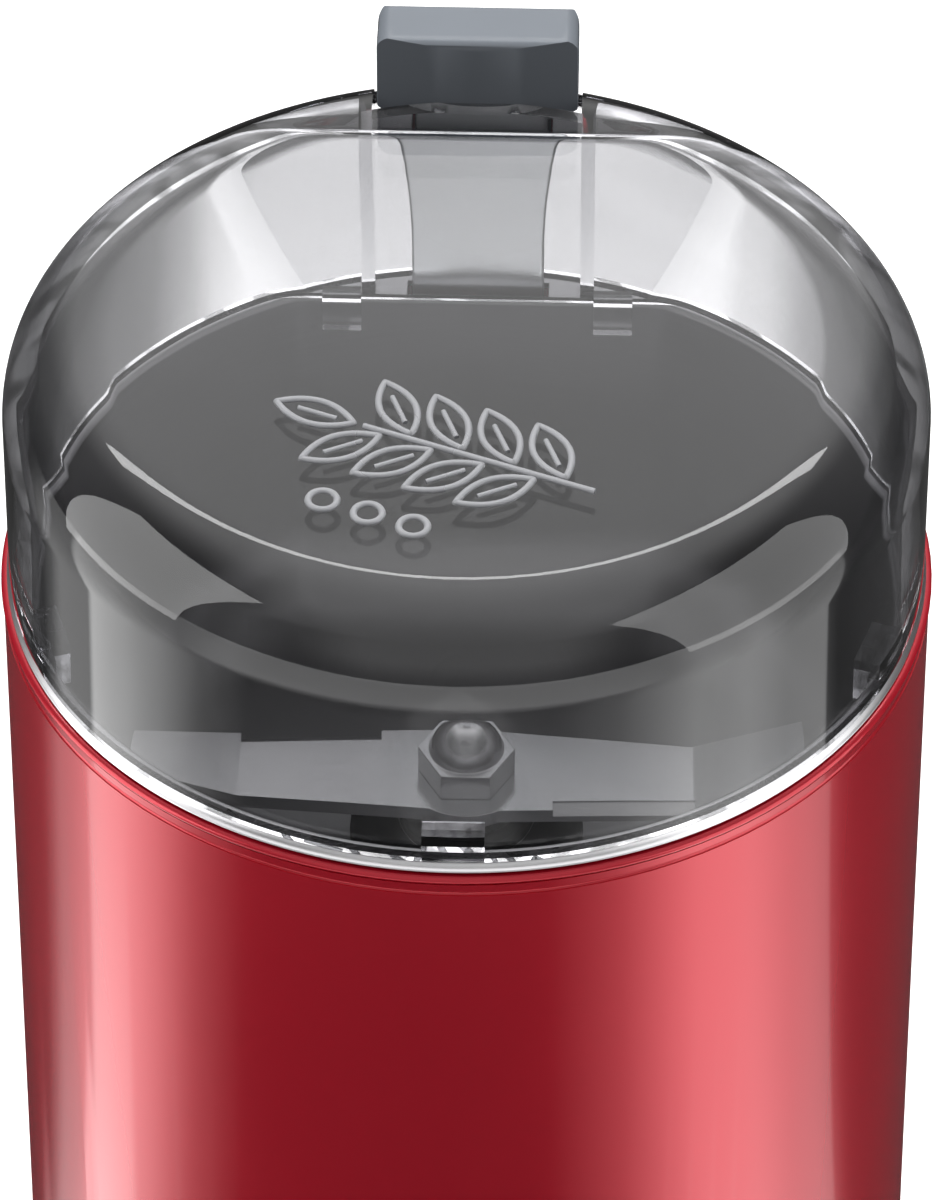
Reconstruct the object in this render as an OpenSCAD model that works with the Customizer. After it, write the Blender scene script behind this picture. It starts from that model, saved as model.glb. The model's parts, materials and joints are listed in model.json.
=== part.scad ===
// Blade grinder for spices and coffee, driven by a small brush motor. Millimetres, +Z up.
// The origin is on the table under the middle of the body, and the user stands towards -Y.
// The button slides in a pocket at the back of the lid. Its stem reaches through the bowl's
// flange to a push rod, which closes the switch, so the motor can't run without the lid.

/* [Body] */
// Outer radius of the body's straight wall
body_r = 46.4; // [46.2:0.1:48]
// Height of the body's top edge above the table
body_h = 138; // [134:0.5:146]
// Thickness of the body's wall
body_wall = 2.2; // [1.8:0.1:2.6]
// Height of the bead round the body's top edge
bead_h = 1.8; // [1.2:0.1:2.4]
// How far the bead stands out from the wall
bead_proud = 0.2; // [0.1:0.05:0.4]
// Height of the body's lower edge above the table
skirt_gap = 1.2; // [0.8:0.1:1.6]
// Radius of the body's lower outer edge
skirt_round = 1.6; // [0.8:0.1:1.8]
// Radius of the three posts inside the wall that take the screws
post_r = 3.2; // [2.8:0.1:3.4]

/* [Bowl] */
// Width of the rim between the bowl's hollow and the body's outside
rim_w = 3.4; // [3.2:0.1:4]
// How far the bowl's flat back wall stands in from its round wall
flat_inset = 4.4; // [4.2:0.1:5]
// Depth of the bowl below its flange
bowl_depth = 38; // [34:0.5:42]
// Radius between the bowl's wall and its floor
bowl_round = 10; // [8:0.5:12]
// Radius of the upright corners beside the flat back wall
bowl_corner = 6; // [4:0.5:8]
// Thickness of the bowl's sheet steel
sheet = 0.7; // [0.5:0.1:0.8]
// Height of the flange's rolled edge above the body
roll_h = 1.5; // [1.2:0.1:2]
// Thickness of the rubber gasket under the flange
gasket_t = 0.5; // [0.3:0.1:0.6]
// Thickness of the plate that carries the bowl and the motor
plate_t = 3; // [2.6:0.1:4]

/* [Lid] */
// Height of the lid above the bowl's flange
lid_h = 28.6; // [26:0.2:34]
// Thickness of the lid's clear wall
lid_wall = 2; // [1.6:0.1:2.1]
// Radius of the lid's shoulder
lid_round = 9.6; // [8:0.2:11]
// Radius inside the shoulder, which makes the clear wall thicker there
lid_turn = 9; // [7.6:0.2:9.4]
// Thickness of the flat wall between the lid's hollow and the button's pocket
flat_wall = 1.5; // [1.2:0.1:1.8]
// How far the lid's locating tabs reach into the bowl
tab_depth = 3; // [2:0.2:4]

/* [Button] */
// Width of the button's cap
button_w = 20.4; // [18:0.2:20.6]
// Height of the button's top above the lid
button_rise = 7.4; // [6:0.2:10]
// How far the cap's skirt reaches below the lid's top
skirt_drop = 4.1; // [3.6:0.1:4.6]
// Depth of the cap's skirt from its front to the stem's back
skirt_d = 5.8; // [5.2:0.1:6]
// Overhang of the cap behind its stem
cap_overhang = 1; // [0.4:0.1:1.4]
// Radius of the cap's bulging front
cap_bulge_r = 58; // [45:1:120]
// Distance that the button travels
travel = 3; // [2:0.1:3.2]
// Width of the stem where it leaves the cap
stem_w_top = 18.2; // [16:0.2:18.4]
// Width of the stem where it enters the body
stem_w = 13.6; // [10:0.2:14]
// Thickness of the stem
stem_t = 1.6; // [1.2:0.1:1.8]
// How far the stem reaches below the bowl's flange
stem_reach = 3; // [2.4:0.1:4]
// Outer radius of the push rod's return spring
spring_r = 1.75; // [1.6:0.05:1.8]
// Length of the return spring at rest
spring_l = 14; // [11:0.5:16]

/* [Blade] */
// Radius swept by the blade's tips
blade_reach = 34.5; // [30:0.5:38]
// Distance from the shaft's axis to the bend in the blade
blade_arm = 23.5; // [18:0.5:26]
// Width of the blade at its middle
blade_w = 12; // [10:0.5:14]
// Thickness of the blade
blade_t = 1.6; // [1.2:0.1:2]
// Angle by which the higher wing's tip is bent up
blade_bend = 24; // [10:1:30]

/* [Motor] */
// Radius of the motor shaft
shaft_r = 3; // [2.6:0.1:3.4]
// Radius of the armature's iron core
core_r = 13.5; // [12:0.1:14]
// Gap between the armature and the stator
air_gap = 0.6; // [0.5:0.1:0.9]
// Width of the stator's iron core
stator_w = 53; // [52:0.5:55]
// Depth of the stator's iron core
stator_d = 50; // [49:0.5:51]
// Height of both iron cores
stack_h = 28; // [24:1:32]
// Thickness of the two bearing brackets
bracket_t = 3; // [2.5:0.1:4]
// Thickness of the rubber ring between the motor and its plate
ring_t = 2; // [1.5:0.1:3]
// Length of the upper bracket's legs
leg_up = 12; // [11:0.5:15]
// Length of the lower bracket's legs
leg_down = 15; // [14:0.2:17]
// Radius of the commutator
comm_r = 9.5; // [8.5:0.1:10]
// Radius of the cooling fan
fan_r = 24; // [20:0.5:26]
// Height of the cooling fan
fan_h = 8; // [6:0.5:9]

/* [Base] */
// Thickness of the base cover
cover_t = 2.4; // [2:0.1:3]
// Height of the rubber feet below the base cover
foot_h = 2; // [1.8:0.1:2.6]
// Radius of the rubber feet
foot_r = 5; // [4:0.1:6]
// Distance of the feet's middles from the inside of the body's wall
foot_inset = 8.2; // [7:0.2:10]
// Height of the cord's gland above the table
gland_z = 15; // [13:0.5:24]
// Radius of the cord's hole through the gland
cord_r = 3.2; // [2.5:0.1:3.6]

/* [Hidden] */
$fn = 96;

// Clearances
slide_fit = 0.3;      // between pieces that slide past each other
run_fit = 0.05;       // round a turning shaft
push_fit = 0.02;      // between pieces that are pushed together
tiny = 0.01;          // lets a cut run past a face

// Radii from the body inwards
inner_r = body_r - body_wall;
bowl_r = body_r - rim_w;                  // inside of the bowl's round wall
bowl_flat = bowl_r - flat_inset;          // inside of the bowl's flat back wall
ring_r = body_r - 0.4;                    // outside of the flange's rolled edge
lid_r = ring_r - 0.25;                    // the lid stands just inside that edge
lid_in = lid_r - lid_wall;
land_in = bowl_r + sheet + 0.25;          // the body's land carries the flange
land_out = ring_r - sheet - 0.2;

// Heights from the top down
flange_z = body_h + roll_h;
lid_top = flange_z + lid_h;
land_z = flange_z - sheet - gasket_t;
floor_z = flange_z - bowl_depth;
plate_top = floor_z - sheet;
plate_low = plate_top - plate_t;
bracket_top = plate_low - ring_t;
bracket_low = bracket_top - bracket_t;
stack_top = bracket_low - leg_up;
stack_low = stack_top - stack_h;
lower_top = stack_low - leg_down;
lower_low = lower_top - bracket_t;
boss_h = 5;
washer_t = 1.2;
end_play = 0.2;
fan_top = lower_low - boss_h - end_play - washer_t;
shaft_low = fan_top - fan_h - 1.5;

// The neck that carries the bowl and the upper bearing
bush_r = shaft_r + 2;
neck_r = bush_r + 2;
nut_h = 2.8;
nut_w = 5;
neck_top = floor_z + nut_h;
seal_h = 1.4;
hub_z = neck_top + seal_h + slide_fit;
hub_h = 2.4;
hub_r = 5.6;
blade_z = hub_z + hub_h;
thread_r = shaft_r - 0.5;

// Base
cover_z = foot_h;
cover_top = cover_z + cover_t;
post_web = 3;
post_ring = inner_r - post_r - post_web / 2;
post_angles = [30, 150, 270];
foot_ring = inner_r - foot_inset;
foot_angles = [45, 135, 225, 315];
foot_peg_r = 1.8;
gland_seat = body_r - 1.4;
gland_flange = cord_r + 3.3;
gland_neck = cord_r + 1.8;
clamp_x = cord_r + 4.8;
clamp_y = inner_r - 10.2;
clamp_d = 6;
clamp_h = 3.6;
clamp_top = gland_z - 1.5;

// Screws that hold the base, the plate and the clamp
case_screw_r = 1.5;
case_head_r = 2.8;
case_head_h = 1.6;
case_screw_l = 9;
clamp_screw_r = 1.2;

// Line of the button's stem and the push rod, in the gap behind the bowl's flat wall
stem_gap = 2;
stem_y = bowl_flat + sheet + stem_gap;
stem_front = stem_y - stem_t / 2;
stem_back = stem_y + stem_t / 2;
skirt_front = stem_back - skirt_d;
stem_low = flange_z - stem_reach;
skirt_low = lid_top - skirt_drop;
cap_low = lid_top + 0.35;
cap_top = lid_top + button_rise;
cap_back = stem_back + cap_overhang;
pocket_w = button_w + 0.8;
pocket_front = skirt_front - slide_fit;
lean_z = skirt_low - travel - slide_fit;  // above this the pocket's wall is upright

rod_w = stem_w;
rod_t = 2.2;
rod_stem_r = 1;
rod_top = stem_low - 0.1;
collar_h = 1.2;
rod_collar = plate_top + spring_l;
rod_reach = 7.8;
rod_foot = plate_low - rod_reach;
rod_foot_t = 2;
guide_t = 1.5;
guide_h = 20;

// Switch, which stands a little in front of the rod
switch_y = stem_y - 2.2;
switch_w = 14;
switch_d = 7.6;
switch_h = 12;
plunger_r = 1.8;
plunger_rise = 4;
plunger_l = 10;
switch_top = rod_foot - 0.1 - plunger_rise;
switch_front = switch_y - switch_d / 2;
switch_flange = 7;
tag_t = 1;
blade_tag_l = 6;
blade_tag_w = 4.8;

// Motor details
bolt_x = stator_w / 2 - 4;
bolt_y = stator_d / 2 - 3.7;
bolt_r = 1.9;
bolt_grip = 7;
leg_r = 4.1;
upper_disc_r = 16;
lower_disc_r = 15;
strap_w = 12;
pole_in = core_r + air_gap;
shoe_t = 2.2;
neck_half = 8;
yoke_x = 7;
yoke_y = 6.5;
coil_in = neck_half + 0.3;
coil_out = stator_w / 2 - yoke_x - 0.5;
coil_far = stator_d / 2 - yoke_y - 0.3;
coil_near = sqrt(pow(pole_in + shoe_t, 2) - pow(coil_in, 2)) + 0.2;
turn_h = 6.4;
slot_n = 12;
slot_r = 1.9;
slot_ring = core_r - slot_r - 2;
slot_mouth = 1.4;
bars_n = 24;
brush_w = 5;
brush_h = 6;
brush_l = 10.5;
brush_fit = 0.1;
holder_wall = 1;
holder_h = brush_h + 2 * brush_fit + 2 * holder_wall;
holder_out = 28;
brush_z = lower_top + holder_h / 2;
brush_in = comm_r + 0.1;
head_h = leg_down - holder_h - 0.6;      // winding heads, clear of the brush holders

// Electrics on the base cover
cap_w = 9.8;
cap_l = 18;
cap_h = 14;
cap_rib = 1.5;
cap_x = -(inner_r - cap_w / 2 - 4.55);
block_w = 9;
block_l = 20;
block_h = 7;
block_x = inner_r - block_w - 6.2;
block_way = 5;
block_screw_r = 1.65;

// --- Plain helpers -------------------------------------------------------------------------

// A rectangle centred on the origin, with round corners
module round_rect(w, d, r) {
    square([w - 2 * r, d], center = true);
    square([w, d - 2 * r], center = true);
    for (sx = [-1, 1], sy = [-1, 1])
        translate([sx * (w / 2 - r), sy * (d / 2 - r)]) circle(r);
}

// What a round edge of radius r leaves of a square corner at the origin
module corner_waste(r) {
    difference() {
        square(r + tiny);
        circle(r);
    }
}

// A tube standing on z
module tube(r_out, r_in, z, h) {
    translate([0, 0, z]) difference() {
        cylinder(r = r_out, h = h);
        translate([0, 0, -1]) cylinder(r = r_in, h = h + 2);
    }
}

// Turns a drawing of depth against height into a solid that runs across the body
module across(w) {
    rotate([90, 0, 90]) translate([0, 0, -w / 2]) linear_extrude(w) children();
}

// A screw with its head's underside at the origin and its shank downwards
module screw(head_r, head_h, shank_r, shank_l) {
    difference() {
        union() {
            cylinder(r = head_r, h = head_h);
            translate([0, 0, -shank_l]) cylinder(r = shank_r, h = shank_l + tiny);
            translate([0, 0, -shank_l - shank_r]) cylinder(r1 = 0.3, r2 = shank_r, h = shank_r);
        }
        for (turn = [0, 90]) rotate(turn)
            translate([-head_r * 0.6, -0.35, head_h * 0.4]) cube([head_r * 1.2, 0.7, head_h]);
    }
}

// A wire spring that stands on the origin, with its ends closed by flat faces
module coil_spring(r_out, wire_r, length, turns) {
    sides = 6;
    steps = 14;
    rings = turns * steps;
    mean_r = r_out - wire_r;
    rise = (length - 2 * wire_r) / rings;
    points = [for (i = [0:rings], j = [0:sides - 1])
        let (a = i * 360 / steps, b = j * 360 / sides, r = mean_r + wire_r * cos(b))
        [r * cos(a), r * sin(a), wire_r + i * rise + wire_r * sin(b)]];
    walls = [for (i = [0:rings - 1], j = [0:sides - 1])
        let (k = (j + 1) % sides)
        [i * sides + j, i * sides + k, (i + 1) * sides + k, (i + 1) * sides + j]];
    start = [[for (j = [sides - 1:-1:0]) j]];
    end = [[for (j = [0:sides - 1]) rings * sides + j]];
    polyhedron(points, concat(walls, start, end), convexity = 8);
}

// --- Body and base -------------------------------------------------------------------------

module housing_profile() {
    bead_r = bead_h / 2;
    bead_x = body_r + bead_proud - bead_r;
    difference() {
        translate([inner_r, skirt_gap]) square([body_wall, body_h - bead_h - skirt_gap + tiny]);
        translate([body_r - skirt_round, skirt_gap + skirt_round])
            mirror([0, 1]) corner_waste(skirt_round);
        translate([body_r, body_h - bead_h - 0.25]) circle(0.25);
    }
    translate([bead_x, body_h - bead_r]) circle(bead_r);
    translate([inner_r, body_h - bead_h]) square([bead_x - inner_r, bead_h]);
    translate([land_in, body_h - 5]) square([land_out - land_in, land_z - body_h + 5]);
}

module screw_post(angle) {
    rotate(angle) {
        translate([post_ring, 0, cover_top]) cylinder(r = post_r, h = plate_low - cover_top);
        translate([post_ring, -post_web / 2, cover_top])
            cube([inner_r - post_ring + 0.5, post_web, plate_low - cover_top]);
    }
}

// Two ribs inside the wall that the push rod slides between
module rod_guides() {
    front = bowl_flat + sheet + 0.5;
    for (side = [-1, 1])
        translate([side * (rod_w + guide_t + 2 * slide_fit) / 2 - guide_t / 2, front,
                body_h - guide_h - 2])
            cube([guide_t, inner_r + 0.4 - front, guide_h]);
}

module housing() {
    color("crimson") difference() {
        union() {
            rotate_extrude() housing_profile();
            for (a = post_angles) screw_post(a);
            rod_guides();
        }
        for (a = post_angles, z = [cover_top - 1, plate_low - case_screw_l - 3]) rotate(a)
            translate([post_ring, 0, z]) cylinder(r = case_screw_r + run_fit, h = case_screw_l + 4);
        gland_block(gland_neck + 0.1, inner_r - 3, 6);
        gland_block(gland_flange + 0.1, gland_seat, 4);
    }
}

module base_cover() {
    color("dimgray") difference() {
        union() {
            translate([0, 0, cover_z]) cylinder(r = inner_r - slide_fit, h = cover_t);
            for (side = [-1, 1]) translate([side * clamp_x, clamp_y, cover_z + tiny])
                cylinder(r = clamp_d / 2, h = clamp_top - cover_z - tiny);
            translate([-clamp_d / 2, clamp_y - 2, cover_z + tiny])
                cube([clamp_d, 4, gland_z - cord_r - 1 - cover_z]);
            for (side = [-1, 1])
                translate([cap_x + side * (cap_w + cap_rib + 0.2) / 2 - cap_rib / 2, -cap_l / 2,
                        cover_z + tiny])
                    cube([cap_rib, cap_l, cover_t + 4]);
        }
        vents();
        for (a = foot_angles) rotate(a) translate([foot_ring, 0, cover_z - 1])
            cylinder(r = foot_peg_r + 0.1, h = cover_t + 2);
        for (a = post_angles) rotate(a) translate([post_ring, 0, cover_z - 1]) {
            cylinder(r = case_screw_r + 0.2, h = cover_t + 2);
            cylinder(r = case_head_r + slide_fit, h = 2.2);
        }
        for (side = [-1, 1]) translate([side * clamp_x, clamp_y, clamp_top - 6])
            cylinder(r = clamp_screw_r + 0.1, h = 7);
    }
}

// Air slots that run outwards under the fan
module vents() {
    count = 20;
    slot_w = 1.8;
    slot_in = 11;
    slot_out = fan_r + 2;
    translate([0, 0, cover_z - 1]) linear_extrude(cover_t + 2)
        for (i = [0:count - 1]) rotate(i * 360 / count) {
            translate([slot_in, -slot_w / 2]) square([slot_out - slot_in, slot_w]);
            translate([slot_in, 0]) circle(slot_w / 2);
            translate([slot_out, 0]) circle(slot_w / 2);
        }
}

module base_screws() {
    color("silver") for (a = post_angles) rotate(a)
        translate([post_ring, 0, cover_z + 1.2]) mirror([0, 0, 1])
            screw(case_head_r, case_head_h, case_screw_r, case_screw_l);
}

module feet() {
    edge = 0.8;
    color("black") for (a = foot_angles) rotate(a) translate([foot_ring, 0, 0])
        rotate_extrude() {
            difference() {
                square([foot_r, foot_h]);
                translate([foot_r - edge, edge]) mirror([0, 1]) corner_waste(edge);
            }
            translate([0, foot_h - tiny]) square([foot_peg_r, cover_t + 1]);
            translate([0, cover_top + 0.1]) square([foot_peg_r + 0.8, 0.9]);
        }
}

// A square block with round edges on the gland's axis. Its flats keep the gland from turning
module gland_block(half, y, h) {
    translate([0, y, gland_z]) rotate([-90, 0, 0])
        linear_extrude(h) round_rect(2 * half, 2 * half, half * 0.35);
}

module cord_gland() {
    neck_y = inner_r - 3.4;
    color("dimgray") difference() {
        union() {
            gland_block(gland_flange, gland_seat, body_r - gland_seat);
            gland_block(gland_neck, neck_y, gland_seat - neck_y + tiny);
            gland_block(gland_neck + 0.6, neck_y + 1.2, 1.2);
        }
        translate([0, 0, gland_z]) rotate([-90, 0, 0]) cylinder(r = cord_r, h = body_r + 2);
    }
}

module cord_clamp() {
    color("gray") difference() {
        translate([-clamp_x - 3.5, clamp_y - clamp_d / 2, clamp_top])
            cube([2 * clamp_x + 7, clamp_d, clamp_h]);
        translate([0, clamp_y, clamp_top - 1.4]) rotate([90, 0, 0])
            cylinder(r = cord_r + 0.2, h = clamp_d + 2, center = true);
        for (side = [-1, 1]) translate([side * clamp_x, clamp_y, clamp_top - 1])
            cylinder(r = clamp_screw_r + slide_fit, h = clamp_h + 2);
    }
}

module clamp_screws() {
    color("silver") for (side = [-1, 1])
        translate([side * clamp_x, clamp_y, clamp_top + clamp_h])
            screw(2.3, 1.4, clamp_screw_r, clamp_h + 3.4);
}

// --- Bowl and what carries it --------------------------------------------------------------

// Plan of the bowl: a circle with a flat back and round upright corners
module bowl_plan(r, flat, corner) {
    reach = sqrt(pow(r - corner, 2) - pow(flat - corner, 2));
    tangent_y = (flat - corner) * r / (r - corner);
    intersection() {
        circle(r);
        translate([-r, -r]) square([2 * r, r + tangent_y]);
    }
    for (side = [-1, 1]) translate([side * reach, flat - corner]) circle(corner);
    translate([-reach, 0]) square([2 * reach, flat]);
}

// Wall and floor joined by a round turn, from start outwards to reach
module cup_profile(start, reach, turn, low, top) {
    translate([start, low]) square([reach - turn - start, top - low]);
    translate([start, low + turn]) square([reach - start, top - low - turn]);
    translate([reach - turn, low + turn]) circle(turn);
}

// The bowl's hollow, grown by a distance on every side but the top
module bowl_form(grow, top) {
    r = bowl_r + grow;
    flat = bowl_flat + grow;
    turn = bowl_round + grow;
    low = floor_z - grow;
    intersection() {
        translate([0, 0, low]) linear_extrude(top - low) bowl_plan(r, flat, bowl_corner + grow);
        rotate_extrude() cup_profile(0, r, turn, low, top);
        across(2 * r + 2) cup_profile(-r - 1, flat, turn, low, top);
    }
}

module stem_slot() {
    translate([-stem_w / 2 - 0.5, stem_front - slide_fit, flange_z - sheet - 1])
        cube([stem_w + 1, stem_t + 2 * slide_fit, sheet + 2]);
}

module bowl() {
    color("silver") difference() {
        union() {
            bowl_form(sheet, flange_z);
            translate([0, 0, flange_z - sheet]) cylinder(r = ring_r - sheet, h = sheet);
            rotate_extrude() {
                intersection() {
                    translate([ring_r - sheet, flange_z - sheet]) circle(sheet);
                    translate([ring_r - sheet - tiny, flange_z - sheet]) square(sheet + tiny);
                }
                translate([ring_r - sheet, body_h + 0.3])
                    square([sheet, roll_h - sheet - 0.3 + tiny]);
            }
        }
        bowl_form(0, flange_z + 1);
        translate([0, 0, plate_top - 1]) cylinder(r = neck_r + 0.1, h = sheet + 2);
        stem_slot();
    }
}

module bowl_gasket() {
    color("black") tube(land_out, land_in, land_z, gasket_t);
}

module support_plate() {
    pocket_h = case_head_h;
    window_w = 9;
    color("gray") difference() {
        translate([0, 0, plate_low]) cylinder(r = inner_r - slide_fit, h = plate_t);
        translate([0, 0, plate_low - 1]) cylinder(r = neck_r + 0.1, h = plate_t + 2);
        translate([0, stem_y, plate_low - 1]) cylinder(r = rod_stem_r + 0.08, h = plate_t + 2);
        for (a = post_angles) rotate(a) translate([post_ring, 0, 0]) {
            translate([0, 0, plate_low - 1]) cylinder(r = case_screw_r + 0.2, h = plate_t + 2);
            translate([0, 0, plate_top - pocket_h]) cylinder(r = case_head_r, h = pocket_h + 1);
        }
        // Lightening windows between the screws
        for (a = [0, 60, 180, 240]) rotate(a)
            translate([(upper_disc_r + post_ring - case_head_r) / 2 - window_w / 4, 0, plate_low - 1])
                linear_extrude(plate_t + 2) round_rect(window_w, 2 * window_w, window_w / 3);
    }
}

module support_screws() {
    color("silver") for (a = post_angles) rotate(a)
        translate([post_ring, 0, plate_top - case_head_h])
            screw(case_head_r - 0.2, case_head_h - 0.1, case_screw_r, case_screw_l);
}

module collar_nut() {
    notch_n = 6;
    color("dimgray") difference() {
        translate([0, 0, floor_z]) rotate_extrude() difference() {
            translate([neck_r + push_fit, 0]) square([nut_w, nut_h]);
            translate([neck_r + nut_w - 1.2, nut_h - 1.2]) corner_waste(1.3);
        }
        for (i = [0:notch_n - 1]) rotate(i * 360 / notch_n)
            translate([neck_r + nut_w - 1.4, -1.2, floor_z + 0.8]) cube([3, 2.4, nut_h]);
    }
}

module shaft_seal() {
    color("black") translate([0, 0, neck_top]) rotate_extrude() difference() {
        translate([shaft_r + 0.08, 0]) square([neck_r - shaft_r - 0.08, seal_h]);
        translate([neck_r - 0.7, seal_h - 0.7]) corner_waste(0.8);
    }
}

module isolating_ring() {
    color("black") tube(upper_disc_r, neck_r + 0.1, plate_low - ring_t, ring_t);
}

// --- Motor ---------------------------------------------------------------------------------

// Both brackets reach two opposite corners of the stator
module bracket_plate(z, middle_r) {
    reach = sqrt(pow(bolt_x, 2) + pow(bolt_y, 2));
    translate([0, 0, z]) linear_extrude(bracket_t) {
        circle(middle_r);
        rotate(atan2(bolt_y, bolt_x)) square([2 * reach, 2 * leg_r - 0.8], center = true);
        at_bolts(0) circle(leg_r);
        children();
    }
}

module at_bolts(z) {
    for (side = [-1, 1]) translate([side * bolt_x, side * bolt_y, z]) children();
}

module upper_bracket() {
    color("lightgray") difference() {
        union() {
            bracket_plate(bracket_low, upper_disc_r);
            translate([0, 0, bracket_low]) cylinder(r = neck_r, h = neck_top - bracket_low);
            at_bolts(stack_top) cylinder(r = leg_r, h = leg_up + 1);
        }
        translate([0, 0, bracket_low - 1]) cylinder(r = bush_r - 0.8, h = 3);
        translate([0, 0, bracket_low + 1])
            cylinder(r = bush_r + push_fit, h = neck_top - bracket_low);
        at_bolts(stack_top - 1) cylinder(r = bolt_r + 0.1, h = bolt_grip + bolt_r + 2);
    }
}

module upper_bearing() {
    color("peru") tube(bush_r, shaft_r + run_fit, bracket_low + 1, neck_top - bracket_low - 1);
}

module lower_bracket() {
    color("lightgray") difference() {
        union() {
            bracket_plate(lower_low, lower_disc_r)
                square([2 * holder_out, strap_w], center = true);
            translate([0, 0, lower_low - boss_h]) cylinder(r = bush_r + 2, h = boss_h + 1);
            at_bolts(lower_top - 1) cylinder(r = leg_r, h = leg_down + 1);
        }
        translate([0, 0, lower_low - boss_h - 1])
            cylinder(r = bush_r + push_fit, h = boss_h + bracket_t + 2);
        at_bolts(lower_low - 1) cylinder(r = bolt_r + 0.1, h = leg_down + bracket_t + 2);
    }
}

module lower_bearing() {
    color("peru") tube(bush_r, shaft_r + run_fit, lower_low - boss_h, boss_h + bracket_t);
}

module motor_bolts() {
    color("silver") at_bolts(lower_low) mirror([0, 0, 1])
        screw(3.4, 2.2, bolt_r, bracket_t + leg_down + stack_h + bolt_grip);
}

// Two poles reach in from front and back, and the coils sit in the windows beside them
module stator_plan() {
    spread = 62;
    difference() {
        union() {
            difference() {
                round_rect(stator_w, stator_d, 6);
                round_rect(stator_w - 2 * yoke_x, stator_d - 2 * yoke_y, 1);
            }
            for (side = [-1, 1]) {
                translate([-neck_half, side > 0 ? core_r : -stator_d / 2 + 1])
                    square([2 * neck_half, stator_d / 2 - core_r - 1]);
                intersection() {
                    circle(pole_in + shoe_t);
                    polygon([[0, 0], [30 * tan(spread), side * 30], [-30 * tan(spread), side * 30]]);
                }
            }
        }
        circle(pole_in);
        for (side = [-1, 1]) translate([side * bolt_x, side * bolt_y]) circle(bolt_r + 0.1);
    }
}

module stator_core() {
    color("slategray") translate([0, 0, stack_low]) linear_extrude(stack_h) stator_plan();
}

module field_coil(side) {
    middle = (stack_low + stack_top) / 2;
    y = side > 0 ? coil_far : -coil_near;
    translate([0, y, middle]) rotate([90, 0, 0]) linear_extrude(coil_far - coil_near)
        difference() {
            round_rect(2 * coil_out, stack_h + 2 * turn_h, 5);
            round_rect(2 * coil_in, stack_h + 0.8, 0.4);
        }
}

module field_coil_front() {
    color("chocolate") field_coil(-1);
}

module field_coil_rear() {
    color("chocolate") field_coil(1);
}

module thermal_fuse() {
    fuse_r = 1.6;
    color("white") translate([0, (coil_near + coil_far) / 2, stack_top + turn_h + fuse_r + 0.05])
        rotate([0, 90, 0]) {
            cylinder(r = fuse_r, h = 11, center = true);
            cylinder(r = 0.4, h = 17, center = true);
        }
}

module at_brushes() {
    for (turn = [0, 180]) rotate(turn) translate([0, 0, brush_z]) children();
}

module brush_holders() {
    w = brush_w + 2 * brush_fit;
    h = brush_h + 2 * brush_fit;
    color("goldenrod") at_brushes() difference() {
        translate([comm_r + 1.5, -w / 2 - holder_wall, -holder_h / 2])
            cube([holder_out - comm_r - 1.5, w + 2 * holder_wall, holder_h]);
        translate([0, -w / 2, -h / 2]) cube([holder_out + 1, w, h]);
    }
}

module carbon_brushes() {
    color("black") at_brushes() difference() {
        translate([comm_r - 1, -brush_w / 2, -brush_h / 2]) cube([brush_l + 1, brush_w, brush_h]);
        cylinder(r = brush_in, h = brush_h + 2, center = true);
    }
}

module brush_springs() {
    gap = 0.1;
    start = comm_r + brush_l + gap;
    color("silver") at_brushes() translate([start, 0, 0]) rotate([0, 90, 0])
        coil_spring(2, 0.3, holder_out - start - gap, 4);
}

module brush_caps() {
    color("black") at_brushes() translate([holder_out, 0, 0]) rotate([0, 90, 0])
        linear_extrude(1.6) round_rect(brush_h + 2.2, brush_w + 2.2, 0.8);
}

module motor_shaft() {
    groove_z = bracket_low - 1.6;
    color("silver") difference() {
        union() {
            translate([0, 0, shaft_low]) cylinder(r = shaft_r, h = hub_z - shaft_low);
            translate([0, 0, hub_z - tiny])
                cylinder(r = thread_r, h = hub_h + blade_t + 3.5);
        }
        tube(shaft_r + 1, shaft_r - 0.3, groove_z, 0.8);
    }
}

module armature_plan() {
    difference() {
        circle(core_r);
        circle(shaft_r + push_fit);
        for (i = [0:slot_n - 1]) rotate(i * 360 / slot_n) {
            translate([slot_ring, 0]) circle(slot_r);
            translate([slot_ring, -slot_mouth / 2]) square([core_r, slot_mouth]);
        }
    }
}

module armature_core() {
    color("slategray") translate([0, 0, stack_low]) linear_extrude(stack_h) armature_plan();
}

// Wire bundles in the slots, and the round heads that they make at both ends
module armature_winding() {
    color("chocolate") {
        for (z = [stack_low - head_h, stack_top])
            translate([0, 0, z]) rotate_extrude()
                translate([(shaft_r + core_r) / 2, head_h / 2])
                    round_rect(core_r - shaft_r - 2.4, head_h, 2.2);
        for (i = [0:slot_n - 1]) rotate(i * 360 / slot_n)
            translate([slot_ring, 0, stack_low - 2]) cylinder(r = slot_r - 0.2, h = stack_h + 4);
    }
}

module commutator() {
    z = lower_top + 0.8;
    h = stack_low - head_h - end_play - z;
    color("peru") translate([0, 0, z]) linear_extrude(h) difference() {
        circle(comm_r);
        circle(shaft_r + push_fit);
        for (i = [0:bars_n - 1]) rotate(i * 360 / bars_n)
            translate([comm_r - 0.8, -0.2]) square([2, 0.4]);
    }
}

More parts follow.
